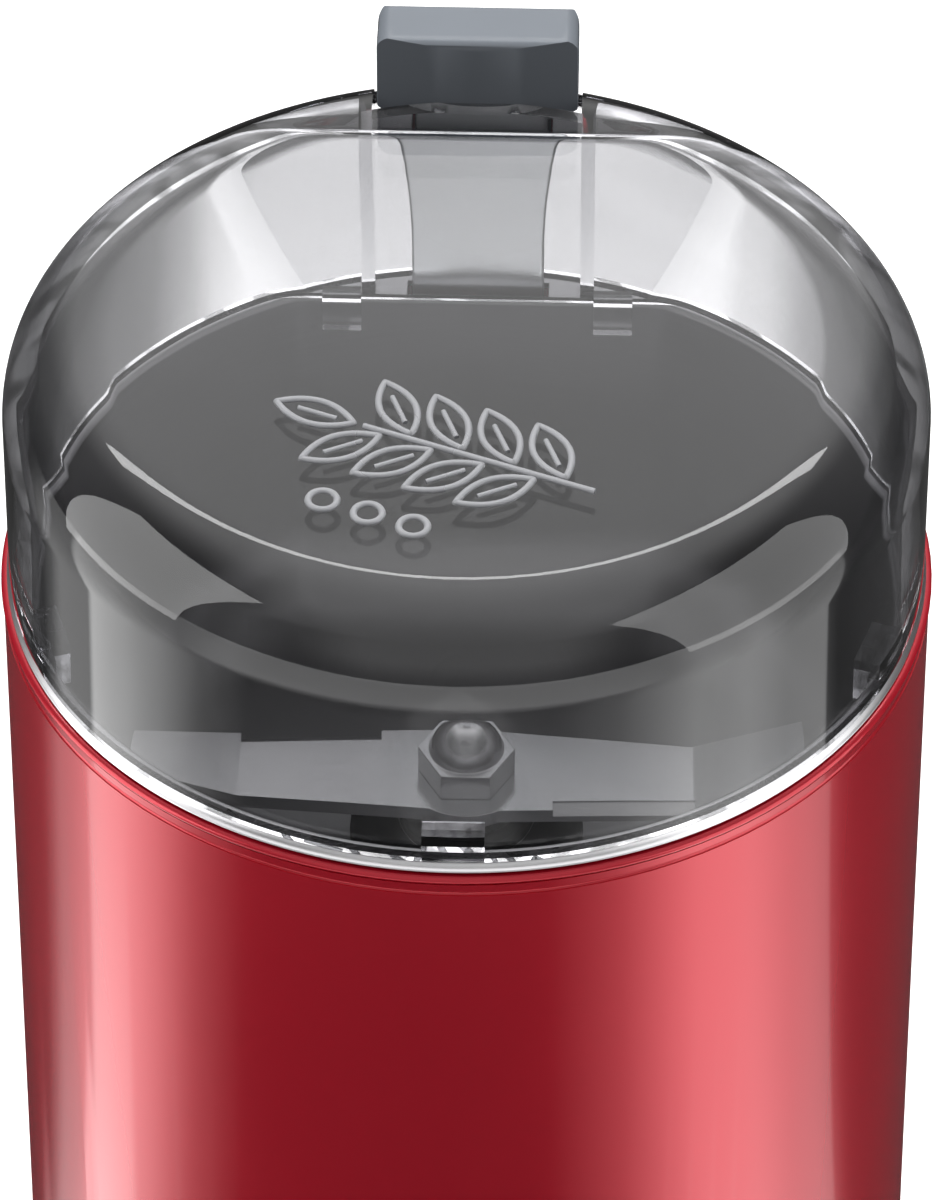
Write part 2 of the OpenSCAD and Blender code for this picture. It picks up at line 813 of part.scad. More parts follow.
// Blades curve back from the hub to the rim under a flat disc
module cooling_fan() {
    blade_n = 11;
    sweep_r = fan_r * 0.8;
    color("ivory") translate([0, 0, fan_top - fan_h]) difference() {
        union() {
            translate([0, 0, fan_h - 1.4]) cylinder(r = fan_r, h = 1.4);
            cylinder(r = shaft_r + 3, h = fan_h);
            intersection() {
                cylinder(r = fan_r, h = fan_h - 1);
                for (i = [0:blade_n - 1]) rotate(i * 360 / blade_n)
                    translate([fan_r / 2 + 1, sweep_r * 0.75, 0]) difference() {
                        cylinder(r = sweep_r, h = fan_h - 1);
                        translate([0, 0, -1]) cylinder(r = sweep_r - 1.1, h = fan_h + 1);
                        translate([-2 * fan_r, 0, -1]) cube([4 * fan_r, 2 * fan_r, fan_h + 1]);
                        translate([-2 * fan_r - 4, -fan_r, -1]) cube([2 * fan_r, 2 * fan_r, fan_h + 1]);
                    }
            }
        }
        translate([0, 0, -1]) cylinder(r = shaft_r + push_fit, h = fan_h + 2);
    }
}

module thrust_washers() {
    color("goldenrod") for (z = [fan_top, bracket_low - end_play - washer_t])
        tube(shaft_r + 2.4, shaft_r + push_fit, z, washer_t);
}

// --- Blade ---------------------------------------------------------------------------------

module drive_hub() {
    color("black") translate([0, 0, hub_z]) rotate_extrude() difference() {
        translate([thread_r + push_fit, 0]) square([hub_r - thread_r, hub_h]);
        translate([hub_r + push_fit - 0.6, 0.6]) mirror([0, 1]) corner_waste(0.7);
    }
}

// Side view of one wing: a flat arm, then a tip that is bent up
module wing_side(bend) {
    rise = (blade_reach + 1 - blade_arm) * tan(bend);
    polygon([[0, 0], [blade_arm, 0], [blade_reach + 1, rise],
        [blade_reach + 1, rise + blade_t / cos(bend)],
        [blade_arm - blade_t * tan(bend / 2), blade_t], [0, blade_t]]);
}

// Plan of one wing, which narrows towards its tip
module wing_plan() {
    half = blade_w / 2;
    intersection() {
        circle(blade_reach);
        polygon([[0, -half], [blade_arm, -half * 0.82], [blade_reach + 1, -half * 0.4],
            [blade_reach + 1, half * 0.5], [blade_arm, half * 0.7], [0, half]]);
    }
}

// The front edge of the arm is ground to a cutting bevel
module blade_wing(bend) {
    difference() {
        intersection() {
            translate([0, 0, -1]) linear_extrude(blade_reach) wing_plan();
            translate([0, blade_w, 0]) rotate([90, 0, 0]) linear_extrude(2 * blade_w)
                wing_side(bend);
        }
        translate([blade_w * 0.75, -blade_w / 2, blade_t * 0.35]) rotate([24, 0, 2.6])
            translate([0, -blade_w / 3, 0])
                cube([blade_arm - blade_w * 0.75, blade_w / 2, blade_w / 3]);
    }
}

module blade() {
    color("silver") translate([0, 0, blade_z]) difference() {
        union() {
            cylinder(r = blade_w / 2 + 0.8, h = blade_t);
            blade_wing(blade_bend);
            rotate(180) blade_wing(blade_bend / 2);
        }
        translate([0, 0, -1]) cylinder(r = thread_r + push_fit, h = blade_t + 2);
    }
}

module blade_nut() {
    hex_r = 5;
    hex_h = 3;
    dome_r = 3.9;
    color("silver") translate([0, 0, blade_z + blade_t]) difference() {
        union() {
            cylinder(r = hex_r, h = hex_h, $fn = 6);
            intersection() {
                translate([0, 0, hex_h - 0.8]) sphere(dome_r);
                translate([0, 0, 1]) cylinder(r = dome_r, h = 8);
            }
        }
        translate([0, 0, -1]) cylinder(r = thread_r + push_fit, h = 4.8);
    }
}

// --- Electrics and switch ------------------------------------------------------------------

module capacitor() {
    color("gold") translate([cap_x, 0, cover_top])
        linear_extrude(cap_h) round_rect(cap_w, cap_l, 1);
}

module terminal_block() {
    color("ivory") difference() {
        translate([block_x, -block_l / 2, cover_top]) {
            cube([block_w, block_l, block_h]);
            translate([2, 0, block_h - 1]) cube([block_w - 4, block_l, 4]);
        }
        for (y = [-block_way, block_way]) translate([block_x, y, cover_top + block_h / 2]) {
            translate([block_w / 2, 0, -0.5]) cylinder(r = block_screw_r + run_fit, h = block_h);
            translate([-1, 0, 0]) rotate([0, 90, 0]) cylinder(r = 1.4, h = block_w + 2);
        }
    }
}

module terminal_screws() {
    color("silver") for (y = [-block_way, block_way])
        translate([block_x + block_w / 2, y, cover_top + block_h + 1])
            screw(block_screw_r, 1.4, 1.1, 2.2);
}

module switch_bracket() {
    w = switch_w + 2;
    color("lightgray") difference() {
        union() {
            translate([-w / 2, switch_front - tag_t, switch_top - switch_h])
                cube([w, tag_t, plate_low - switch_top + switch_h]);
            translate([-w / 2, switch_front - switch_flange, plate_low - tag_t])
                cube([w, switch_flange, tag_t]);
        }
        for (side = [-1, 1])
            translate([side * w / 4, switch_front - switch_flange / 2, plate_low - tag_t - 1])
                cylinder(r = 1.2, h = tag_t + 2);
    }
}

module switch_body() {
    color("dimgray") difference() {
        translate([0, switch_y, switch_top - switch_h]) linear_extrude(switch_h)
            round_rect(switch_w, switch_d, 0.8);
        translate([0, switch_y, switch_top - plunger_l + plunger_rise - travel - 0.6])
            cylinder(r = plunger_r + 0.06, h = 20);
    }
}

module switch_terminals() {
    color("goldenrod") for (side = [-1, 1])
        translate([side * 4 - 0.4, switch_y - blade_tag_w / 2, switch_top - switch_h - blade_tag_l])
            cube([0.8, blade_tag_w, blade_tag_l]);
}

module switch_plunger() {
    color("white") translate([0, switch_y, switch_top + plunger_rise - plunger_l])
        cylinder(r = plunger_r, h = plunger_l);
}

// A flat blade under the stem, a round stem through the plate, and a foot over the switch
module push_rod() {
    color("gray") {
        translate([-rod_w / 2, stem_y - rod_t / 2, rod_collar + collar_h - tiny])
            cube([rod_w, rod_t, rod_top - rod_collar - collar_h + tiny]);
        translate([0, stem_y, rod_collar]) cylinder(r = spring_r, h = collar_h);
        translate([0, stem_y, rod_foot]) cylinder(r = rod_stem_r, h = rod_collar - rod_foot + tiny);
        translate([-3, switch_y - 2, rod_foot])
            cube([6, stem_y - switch_y + 3.4, rod_foot_t]);
    }
}

module return_spring() {
    color("silver") translate([0, stem_y, plate_top])
        coil_spring(spring_r, 0.25, spring_l, 7);
}

// --- Lid and button ------------------------------------------------------------------------

// Outline of the lid's dome from its axis outwards
module dome_profile(r, turn, low, top) {
    translate([0, low]) square([r - turn, top - low]);
    translate([0, low]) square([r, top - turn - low]);
    translate([r - turn, top - turn]) circle(turn);
}

// Everything in front of a line that leans forward up to lean_z and stands upright above it
module ahead_of(low_y, high_y) {
    front = -2 * lid_r;
    low = flange_z - 9;
    high = lid_top + 9;
    across(3 * lid_r)
        polygon([[front, low], [low_y, low], [low_y, flange_z], [high_y, lean_z], [high_y, high],
            [front, high]]);
}

module lid_hollow(turn) {
    rotate_extrude()
        dome_profile(lid_in, turn, flange_z - 1, lid_top - lid_wall);
}

module lid_tab() {
    tab_out = bowl_r - slide_fit;
    intersection() {
        rotate_extrude() {
            translate([tab_out - 1.2, flange_z - tab_depth]) square([1.2, tab_depth + 2]);
            translate([tab_out - 1.2, flange_z]) square([lid_in - tab_out + 1.7, 2]);
        }
        translate([30, -3, flange_z - tab_depth - 1]) cube([30, 6, tab_depth + 4]);
    }
}

module lid() {
    back_fit = bowl_flat - slide_fit;
    color("lightgray", 0.4) difference() {
        union() {
            difference() {
                rotate_extrude() dome_profile(lid_r, lid_round, flange_z, lid_top);
                intersection() {
                    lid_hollow(lid_turn);
                    ahead_of(bowl_flat, pocket_front - flat_wall);
                }
                difference() {
                    lid_hollow(lid_round - lid_wall);
                    ahead_of(bowl_flat + flat_wall, pocket_front);
                    for (side = [-1, 1])
                        translate([side * (pocket_w / 2 + 0.7) - 0.7, 30, flange_z - 2])
                            cube([1.4, 20, lid_h + 4]);
                }
            }
            for (a = [200, 340, 270]) rotate(a) lid_tab();
            for (side = [-1, 1]) translate([side * 14 - 2, back_fit - 1.2, flange_z - tab_depth])
                cube([4, 1.2, tab_depth + 2]);
            for (side = [-1, 1]) translate([side * 14 - 2, back_fit - 1.2, flange_z])
                cube([4, 2, 2]);
        }
        // The notch that the button stands in
        translate([-pocket_w / 2, pocket_front, lean_z])
            cube([pocket_w, stem_back + slide_fit - pocket_front, lid_h]);
        translate([-pocket_w / 2, pocket_front, cap_low - travel - slide_fit])
            cube([pocket_w, 20, lid_h]);
    }
}

// The cap is the solid that its plan, its front and its side views have in common
module cap_form(back, low, top, round_low) {
    depth = back - skirt_front;
    intersection() {
        translate([0, 0, low]) linear_extrude(top - low) intersection() {
            translate([0, skirt_front + depth / 2]) round_rect(button_w, depth, 1.4);
            translate([0, skirt_front + cap_bulge_r]) circle(cap_bulge_r);
        }
        translate([0, back + 1, (low + top) / 2]) rotate([90, 0, 0]) linear_extrude(depth + 2)
            round_rect(button_w, top - low, round_low);
    }
}

module button_cap() {
    shell = 1.5;
    edge = 1.3;
    color("slategray") difference() {
        union() {
            intersection() {
                cap_form(cap_back, cap_low - 3, cap_top, 1.8);
                across(button_w + 2) {
                    translate([skirt_front - 1, cap_low]) square([30, cap_top - edge - cap_low]);
                    translate([(skirt_front + cap_back) / 2, (cap_low + cap_top) / 2])
                        round_rect(cap_back - skirt_front, cap_top - cap_low, edge);
                }
            }
            intersection() {
                cap_form(stem_back, skirt_low, cap_top - 2, 1.5);
                translate([-20, 0, skirt_low - 1]) cube([40, stem_front, lid_h]);
            }
        }
        translate([-button_w / 2 + shell, skirt_front + shell + 0.6, skirt_low - 1])
            cube([button_w - 2 * shell, stem_front - skirt_front - shell - 0.6,
                cap_top - shell - skirt_low + 1]);
    }
}

// Two round flanks narrow the stem from the cap's width to the slot's width
module stem_outline() {
    narrow = (stem_w_top - stem_w) / 2;
    fall = 19;
    flank_r = (pow(narrow, 2) + pow(fall, 2)) / (2 * narrow);
    difference() {
        translate([-stem_w_top / 2, stem_low]) square([stem_w_top, cap_low - stem_low]);
        for (side = [-1, 1]) {
            translate([side * (stem_w / 2 + flank_r), skirt_low - fall]) circle(flank_r);
            translate([side * (stem_w / 2 + flank_r) - flank_r, stem_low - 1])
                square([2 * flank_r, skirt_low - fall - stem_low + 1]);
        }
    }
}

module button_stem() {
    shell = 1.5;
    plug_w = button_w - 2 * shell - 2;
    color("lightsteelblue") {
        translate([0, stem_back, 0]) rotate([90, 0, 0]) linear_extrude(stem_t) stem_outline();
        translate([-plug_w / 2, stem_front - 2, skirt_low + 1])
            cube([plug_w, 2, cap_low - skirt_low + 2]);
    }
}

housing();
base_cover();
base_screws();
feet();
cord_gland();
cord_clamp();
clamp_screws();
bowl();
bowl_gasket();
support_plate();
support_screws();
collar_nut();
shaft_seal();
isolating_ring();
upper_bracket();
upper_bearing();
stator_core();
field_coil_front();
field_coil_rear();
lower_bracket();
lower_bearing();
motor_bolts();
brush_holders();
carbon_brushes();
brush_springs();
brush_caps();
thermal_fuse();
capacitor();
terminal_block();
terminal_screws();
switch_bracket();
switch_body();
switch_terminals();
return_spring();
motor_shaft();
armature_core();
armature_winding();
commutator();
cooling_fan();
thrust_washers();
drive_hub();
blade();
blade_nut();
push_rod();
switch_plunger();
lid();
button_cap();
button_stem();
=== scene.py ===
"""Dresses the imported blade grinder: finishes, soft edges, wire, raised leaves, lamps and camera.

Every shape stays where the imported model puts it. Lengths are metres; MM turns millimetres into
them.
"""
import json
import logging
import math
from dataclasses import dataclass, field
from enum import Enum
from typing import Any, Iterable, Sequence

import bmesh
import bpy
from mathutils import Matrix, Vector


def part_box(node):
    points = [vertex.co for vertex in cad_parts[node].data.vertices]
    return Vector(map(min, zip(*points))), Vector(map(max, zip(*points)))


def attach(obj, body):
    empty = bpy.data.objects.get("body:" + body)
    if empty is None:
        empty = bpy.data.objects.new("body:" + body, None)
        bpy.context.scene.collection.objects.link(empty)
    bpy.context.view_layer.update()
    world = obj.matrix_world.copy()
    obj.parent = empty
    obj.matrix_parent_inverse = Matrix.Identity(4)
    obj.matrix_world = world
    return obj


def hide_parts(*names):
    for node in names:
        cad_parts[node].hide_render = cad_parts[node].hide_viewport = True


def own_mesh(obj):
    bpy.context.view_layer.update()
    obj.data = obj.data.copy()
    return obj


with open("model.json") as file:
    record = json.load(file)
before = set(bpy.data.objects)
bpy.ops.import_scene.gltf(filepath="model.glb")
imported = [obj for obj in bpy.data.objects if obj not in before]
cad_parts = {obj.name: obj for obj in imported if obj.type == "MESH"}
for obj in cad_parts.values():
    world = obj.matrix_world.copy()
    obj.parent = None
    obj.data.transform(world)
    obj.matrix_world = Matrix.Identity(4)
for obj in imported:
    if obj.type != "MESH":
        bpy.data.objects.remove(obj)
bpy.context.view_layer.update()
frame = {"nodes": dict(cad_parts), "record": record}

MM = 0.001
Colour = tuple[float, float, float]
Stops = tuple[tuple[float, float], ...]
WHITE: Colour = (1.0, 1.0, 1.0)
log = logging.getLogger("grinder")


def placed(name: str, data: bpy.types.ID) -> bpy.types.Object:
    """Stands a mesh, lamp or camera in the scene.

    Args:
        name: The object's name.
        data: The mesh, lamp or camera.

    Returns:
        The new object, at the origin.
    """
    thing = bpy.data.objects.new(name, data)
    bpy.context.scene.collection.objects.link(thing)
    return thing


# --- Nodes ----------------------------------------------------------------------------------------


class Flow:
    """A number that leaves a socket. Sums and products of flows add their Math nodes."""

    def __init__(self, bench: "Bench", socket: bpy.types.NodeSocket) -> None:
        """Wraps a socket.

        Args:
            bench: The bench that the socket's node stands on.
            socket: The output socket that carries the number.
        """
        self.bench = bench
        self.socket = socket

    def _math(self, operation: str, *terms: Any, clamp: bool = False) -> "Flow":
        """Adds one Math node.

        Args:
            operation: The Math node's operation.
            terms: Its inputs in order, as flows or numbers.
            clamp: Whether the result is kept between 0 and 1.

        Returns:
            The node's result.
        """
        settings = {"operation": operation, "use_clamp": clamp}
        node = self.bench.add("ShaderNodeMath", settings, dict(enumerate(terms)))
        return Flow(self.bench, node.outputs[0])

    def __add__(self, other: Any) -> "Flow":
        """Adds a flow or a number."""
        return self._math("ADD", self, other)

    __radd__ = __add__

    def __sub__(self, other: Any) -> "Flow":
        """Takes a flow or a number off."""
        return self._math("SUBTRACT", self, other)

    def __rsub__(self, other: Any) -> "Flow":
        """Takes this flow off a number."""
        return self._math("SUBTRACT", other, self)

    def __mul__(self, other: Any) -> "Flow":
        """Multiplies by a flow or a number."""
        return self._math("MULTIPLY", self, other)

    __rmul__ = __mul__

    def __truediv__(self, other: Any) -> "Flow":
        """Divides by a flow or a number."""
        return self._math("DIVIDE", self, other)

    def __rtruediv__(self, other: Any) -> "Flow":
        """Divides a number by this flow."""
        return self._math("DIVIDE", other, self)

    def __pow__(self, other: Any) -> "Flow":
        """Raises to a power."""
        return self._math("POWER", self, other)

    def __mod__(self, other: Any) -> "Flow":
        """Gives the rest of a division."""
        return self._math("MODULO", self, other)

    def below(self, other: Any) -> "Flow":
        """Gives 1 where this number is less than the other, and 0 elsewhere."""
        return self._math("LESS_THAN", self, other)

    def larger(self, other: Any) -> "Flow":
        """Gives the larger of two numbers."""
        return self._math("MAXIMUM", self, other)

    def wave(self) -> "Flow":
        """Gives the sine."""
        return self._math("SINE", self)

    def size(self) -> "Flow":
        """Gives the number without its sign."""
        return self._math("ABSOLUTE", self)

    def clamped(self) -> "Flow":
        """Keeps the number between 0 and 1."""
        return self._math("ADD", self, 0.0, clamp=True)


class Bench:
    """Where the nodes of one tree are put together."""

    def __init__(self, tree: bpy.types.NodeTree) -> None:
        """Takes a tree and clears it.

        Args:
            tree: The material's, world's or geometry's node tree.
        """
        self.tree = tree
        tree.nodes.clear()

    def add(self, kind: str, settings: dict[str, Any] | None = None,
            inputs: dict[Any, Any] | None = None) -> bpy.types.Node:
        """Adds a node, sets it and then feeds it.

        Args:
            kind: The node's type.
            settings: Its settings by name; "stops" holds the stops of a colour ramp.
            inputs: The values or links of its sockets, by name or number.

        Returns:
            The new node.
        """
        node = self.tree.nodes.new(kind)
        for name, value in (settings or {}).items():
            if name == "stops":
                self._set_stops(node.color_ramp, value)
            else:
                setattr(node, name, value)
        for name, value in (inputs or {}).items():
            self.feed(node.inputs[name], value)
        return node

    @staticmethod
    def _set_stops(ramp: bpy.types.ColorRamp, stops: Sequence[tuple[float, float]]) -> None:
        """Gives a ramp its grey stops.

        Args:
            ramp: The colour ramp.
            stops: Each stop's place and its grey level.
        """
        while len(ramp.elements) < len(stops):
            ramp.elements.new(1.0)
        for element, (place, level) in zip(ramp.elements, stops):
            element.position = place
            element.color = (level, level, level, 1.0)

    def feed(self, socket: bpy.types.NodeSocket, value: Any) -> None:
        """Links a socket to a flow or another socket, or sets its value.

        Args:
            socket: The input socket.
            value: A flow, an output socket or a plain value.
        """
        if isinstance(value, Flow):
            self.tree.links.new(value.socket, socket)
        elif isinstance(value, bpy.types.NodeSocket):
            self.tree.links.new(value, socket)
        elif isinstance(value, tuple) and len(value) == 3 and socket.type == "RGBA":
            socket.default_value = (*value, 1.0)
        else:
            socket.default_value = value

    def place(self) -> bpy.types.NodeSocket:
        """Gives the Object coordinates, in metres."""
        return self.add("ShaderNodeTexCoord").outputs["Object"]

    def parts(self, vector: bpy.types.NodeSocket) -> tuple[Flow, Flow, Flow]:
        """Splits a vector into its three numbers.

        Args:
            vector: The vector's socket.

        Returns:
            The flows of x, y and z.
        """
        node = self.add("ShaderNodeSeparateXYZ", inputs={0: vector})
        return tuple(Flow(self, out) for out in node.outputs)

    def joined(self, x: Any, y: Any, z: Any) -> bpy.types.NodeSocket:
        """Makes a vector of three numbers."""
        return self.add("ShaderNodeCombineXYZ", inputs={0: x, 1: y, 2: z}).outputs[0]

    def noise(self, vector: bpy.types.NodeSocket, scale: float, detail: float = 2.0,
              roughness: float = 0.5) -> Flow:
        """Adds soft noise between 0 and 1.

        Args:
            vector: Where the noise is read.
            scale: Its scale, as features in a metre.
            detail: How many finer layers it has.
            roughness: How strong the finer layers are.

        Returns:
            The noise's value.
        """
        inputs = {"Vector": vector, "Scale": scale, "Detail": detail, "Roughness": roughness}
        return Flow(self, self.add("ShaderNodeTexNoise", inputs=inputs).outputs[0])

    def cells(self, vector: bpy.types.NodeSocket, scale: float) -> Flow:
        """Adds cells with a random grey each.

        Args:
            vector: Where the cells are read.
            scale: Their scale, as cells in a metre.

        Returns:
            The grey of the cell.
        """
        node = self.add("ShaderNodeTexVoronoi", inputs={"Vector": vector, "Scale": scale})
        grey = self.add("ShaderNodeRGBToBW", inputs={0: node.outputs["Color"]})
        return Flow(self, grey.outputs[0])

    def ramp(self, flow: Flow, *stops: tuple[float, float]) -> Flow:
        """Bends a number by a ramp of grey stops.

        Args:
            flow: The number, from 0 to 1.
            stops: Each stop's place and its grey level.

        Returns:
            The ramp's grey.
        """
        node = self.add("ShaderNodeValToRGB", {"stops": stops}, {0: flow})
        grey = self.add("ShaderNodeRGBToBW", inputs={0: node.outputs[0]})
        return Flow(self, grey.outputs[0])

    def blend(self, factor: Any, low: Any, high: Any) -> bpy.types.NodeSocket:
        """Mixes two colours.

        Args:
            factor: How much of the second colour.
            low: The first colour.
            high: The second colour.

        Returns:
            The mixed colour's socket.
        """
        node = self.add("ShaderNodeMix", {"data_type": "RGBA"})
        self.feed(node.inputs[0], factor)
        self.feed(node.inputs[6], low)
        self.feed(node.inputs[7], high)
        return node.outputs[2]

    def bump(self, height: Flow, depth: float) -> bpy.types.NodeSocket:
        """Raises the surface by a height from 0 to 1, where 1 stands as high as the depth."""
        inputs = {"Strength": 1.0, "Distance": depth, "Height": height}
        return self.add("ShaderNodeBump", inputs=inputs).outputs[0]

    def rays(self) -> tuple[Flow, Flow, Flow]:
        """Tells what looks at a surface.

        Returns:
            The flows that are 1 for the camera, for gloss and for what is seen through a clear
            piece.
        """
        path = self.add("ShaderNodeLightPath").outputs
        kinds = ("Is Camera Ray", "Is Glossy Ray", "Is Transmission Ray")
        return tuple(Flow(self, path[kind]) for kind in kinds)

    def surface(self, **inputs: Any) -> None:
        """Adds a Principled shader and joins it to the output.

        Args:
            inputs: Its sockets, with _ for the spaces in their names.
        """
        named = {name.replace("_", " "): value for name, value in inputs.items()}
        shader = self.add("ShaderNodeBsdfPrincipled", inputs=named)
        self.add("ShaderNodeOutputMaterial", inputs={"Surface": shader.outputs[0]})


def shade_of(colour: Colour, amount: float) -> Colour:
    """Makes a colour darker or lighter by a factor."""
    return tuple(min(1.0, part * amount) for part in colour)


# --- Finishes -------------------------------------------------------------------------------------


class Grain(Enum):
    """How a metal was worked."""

    TURNED = "turned round the axis"
    ROLLED = "brushed along a line"
    CAST = "cast or sintered"
    ZINC = "zinc plated"


@dataclass(frozen=True)
class Finish:
    """What each finish has."""

    name: str
    colour: Colour
    roughness: float

    def material(self) -> bpy.types.Material:
        """Builds the material on first use.

        Returns:
            The material of this name.
        """
        made = bpy.data.materials.get(self.name)
        if made is None:
            made = bpy.data.materials.new(self.name)
            made.use_nodes = True
            self.shade(Bench(made.node_tree))
        return made

    def toned(self, bench: Bench, tone: Flow, dark: float, light: float) -> bpy.types.NodeSocket:
        """Varies the colour between a dark and a light shade of it."""
        return bench.blend(tone, shade_of(self.colour, dark), shade_of(self.colour, light))

    def shade(self, bench: Bench) -> None:
        """Puts the finish's nodes together on a bench."""
        raise NotImplementedError


@dataclass(frozen=True)
class Moulded(Finish):
    """Plastic from a mould: a fine grain, faint flow marks and a gloss that varies a little."""

    grain: float = 0.35 * MM
    depth: float = 0.006 * MM
    tone: float = 0.12
    coat: float = 0.0
    coat_blur: float = 0.06
    polish: float = 0.04
    flake: float = 0.0
    flow_scale: float = 55.0

    def shade(self, bench: Bench) -> None:
        """Lays grain over slow flow marks.

        Args:
            bench: Where the material's nodes stand.
        """
        place = bench.place()
        flow = bench.noise(place, self.flow_scale, 3.0)
        fine = bench.noise(place, 1.0 / self.grain)
        bench.surface(Base_Color=self.toned(bench, flow, 1 - self.tone, 1 + self.tone),
                      Roughness=flow * self.polish + (self.roughness - self.polish / 2),
                      Metallic=self.flake, Coat_Weight=self.coat,
                      Coat_Roughness=self.coat_blur, Normal=bench.bump(fine, self.depth))


@dataclass(frozen=True)
class Metal(Finish):
    """Bare or plated metal. Below a height it can get painted shade, darkest at its lowest place.
    """

    work: Grain = Grain.ROLLED
    scratch: float = 0.12 * MM
    depth: float = 0.004 * MM
    spread: float = 0.12
    along: float = 40.0
    skew: float = 1.37
    mark_share: float = 0.6
    cloud_scale: float = 90.0
    spangle_scale: float = 900.0
    dark: float = 0.86
    light: float = 1.1
    # Painted shade: the colour is multiplied by this at the lowest height, and less so up to the
    # highest
    painted_shade: float = 1.0
    painted_shade_low: float = 101.5 * MM
    painted_shade_high: float = 138.0 * MM
    painted_shade_fade: float = 1.5

    def _read(self, bench: Bench) -> bpy.types.NodeSocket:
        """Gives the coordinates in which the metal's marks are round.

        Args:
            bench: Where the material's nodes stand.

        Returns:
            The coordinates, where 1 is as wide as a mark.
        """
        x, y, z = bench.parts(bench.place())
        fast, slow = 1.0 / self.scratch, self.along
        if self.work is Grain.TURNED:
            radius = (x * x + y * y) ** 0.5
            return bench.joined(x * slow, y * slow, radius * fast + z * (fast * self.skew))
        return bench.joined(x * (slow if self.work is Grain.ROLLED else fast), y * fast, z * fast)

    def shade(self, bench: Bench) -> None:
        """Lays the marks of the work over slow changes of tone, and painted shade towards the
        bottom over both.

        Args:
            bench: Where the material's nodes stand.
        """
        marks = bench.noise(self._read(bench), 1.0, 3.0, 0.6)
        if self.work is Grain.ZINC:
            clouds = bench.cells(bench.place(), self.spangle_scale)
        else:
            clouds = bench.noise(bench.place(), self.cloud_scale)
        tone = marks * self.mark_share + clouds * (1 - self.mark_share)
        colour = self.toned(bench, tone, self.dark, self.light)
        # Painted shade: the colour darkens from the highest height down to the lowest
        if self.painted_shade < 1.0:
            height = bench.parts(bench.place())[2] - self.painted_shade_low
            unshaded_share = (height / (self.painted_shade_high - self.painted_shade_low)).clamped()
            shaded_colour = self.toned(bench, tone, self.dark * self.painted_shade, self.light * self.painted_shade)
            colour = bench.blend(unshaded_share ** self.painted_shade_fade, shaded_colour, colour)
        bench.surface(Base_Color=colour, Metallic=1.0, Normal=bench.bump(marks, self.depth),
                      Roughness=tone * self.spread + (self.roughness - self.spread / 2))


@dataclass(frozen=True)
class Stacked(Finish):
    """Iron sheets stacked along the axis, with a little rust tone."""

    sheet: float = 0.5 * MM
    depth: float = 0.05 * MM
    stain_scale: float = 260.0
    rust: Colour = (0.3, 0.25, 0.21)
    dark: float = 0.7
    gap: float = 0.25
    spread: float = 0.2
    metallic: float = 0.8

    def shade(self, bench: Bench) -> None:
        """Draws the edges of the sheets.

        Args:
            bench: Where the material's nodes stand.
        """
        place = bench.place()
        edges = (bench.parts(place)[2] * (math.pi / self.sheet)).wave().size()
        joint = bench.ramp(edges, (0.0, 0.25), (0.3, 1.0))
        stain = bench.noise(place, self.stain_scale, 4.0)
        colour = bench.blend(stain, shade_of(self.colour, self.dark), self.rust)
        bench.surface(Base_Color=bench.blend(joint, shade_of(self.colour, self.gap), colour),
                      Roughness=stain * self.spread + self.roughness, Metallic=self.metallic,
                      Normal=bench.bump(joint, self.depth))


@dataclass(frozen=True)
class Lacquered(Finish):
    """Copper wire under a clear brown lacquer."""

    wire_scale: float = 700.0
    ripple_scale: float = 2500.0
    depth: float = 0.01 * MM
    tone: float = 0.25
    spread: float = 0.15
    metallic: float = 0.75
    coat: float = 0.6
    coat_blur: float = 0.15

    def shade(self, bench: Bench) -> None:
        """Varies the lacquer from wire to wire.

        Args:
            bench: Where the material's nodes stand.
        """
        place = bench.place()
        turn = bench.noise(place, self.wire_scale)
        ripple = bench.noise(place, self.ripple_scale)
        bench.surface(Base_Color=self.toned(bench, turn, 1 - self.tone, 1 + self.tone),
                      Roughness=turn * self.spread + self.roughness, Metallic=self.metallic,
                      Coat_Weight=self.coat, Coat_Roughness=self.coat_blur,
                      Normal=bench.bump(ripple, self.depth))


@dataclass(frozen=True)
class Rubbery(Finish):
    """Matt rubber with a fine dusty grain."""

    dust_scale: float = 300.0
    dust_share: float = 0.5
    dust_light: float = 2.4
    grain_scale: float = 3500.0
    depth: float = 0.02 * MM
    spread: float = 0.15

    def shade(self, bench: Bench) -> None:
        """Lays dust over a fine grain.

        Args:
            bench: Where the material's nodes stand.
        """
        place = bench.place()
        dust = bench.noise(place, self.dust_scale, 4.0, 0.6)
        worn = bench.ramp(dust, (0.45, 0.0), (0.75, 1.0))
        grain = bench.noise(place, self.grain_scale)
        bench.surface(Base_Color=self.toned(bench, worn * self.dust_share, 1.0, self.dust_light),
                      Roughness=dust * self.spread + self.roughness,
                      Normal=bench.bump(grain, self.depth))


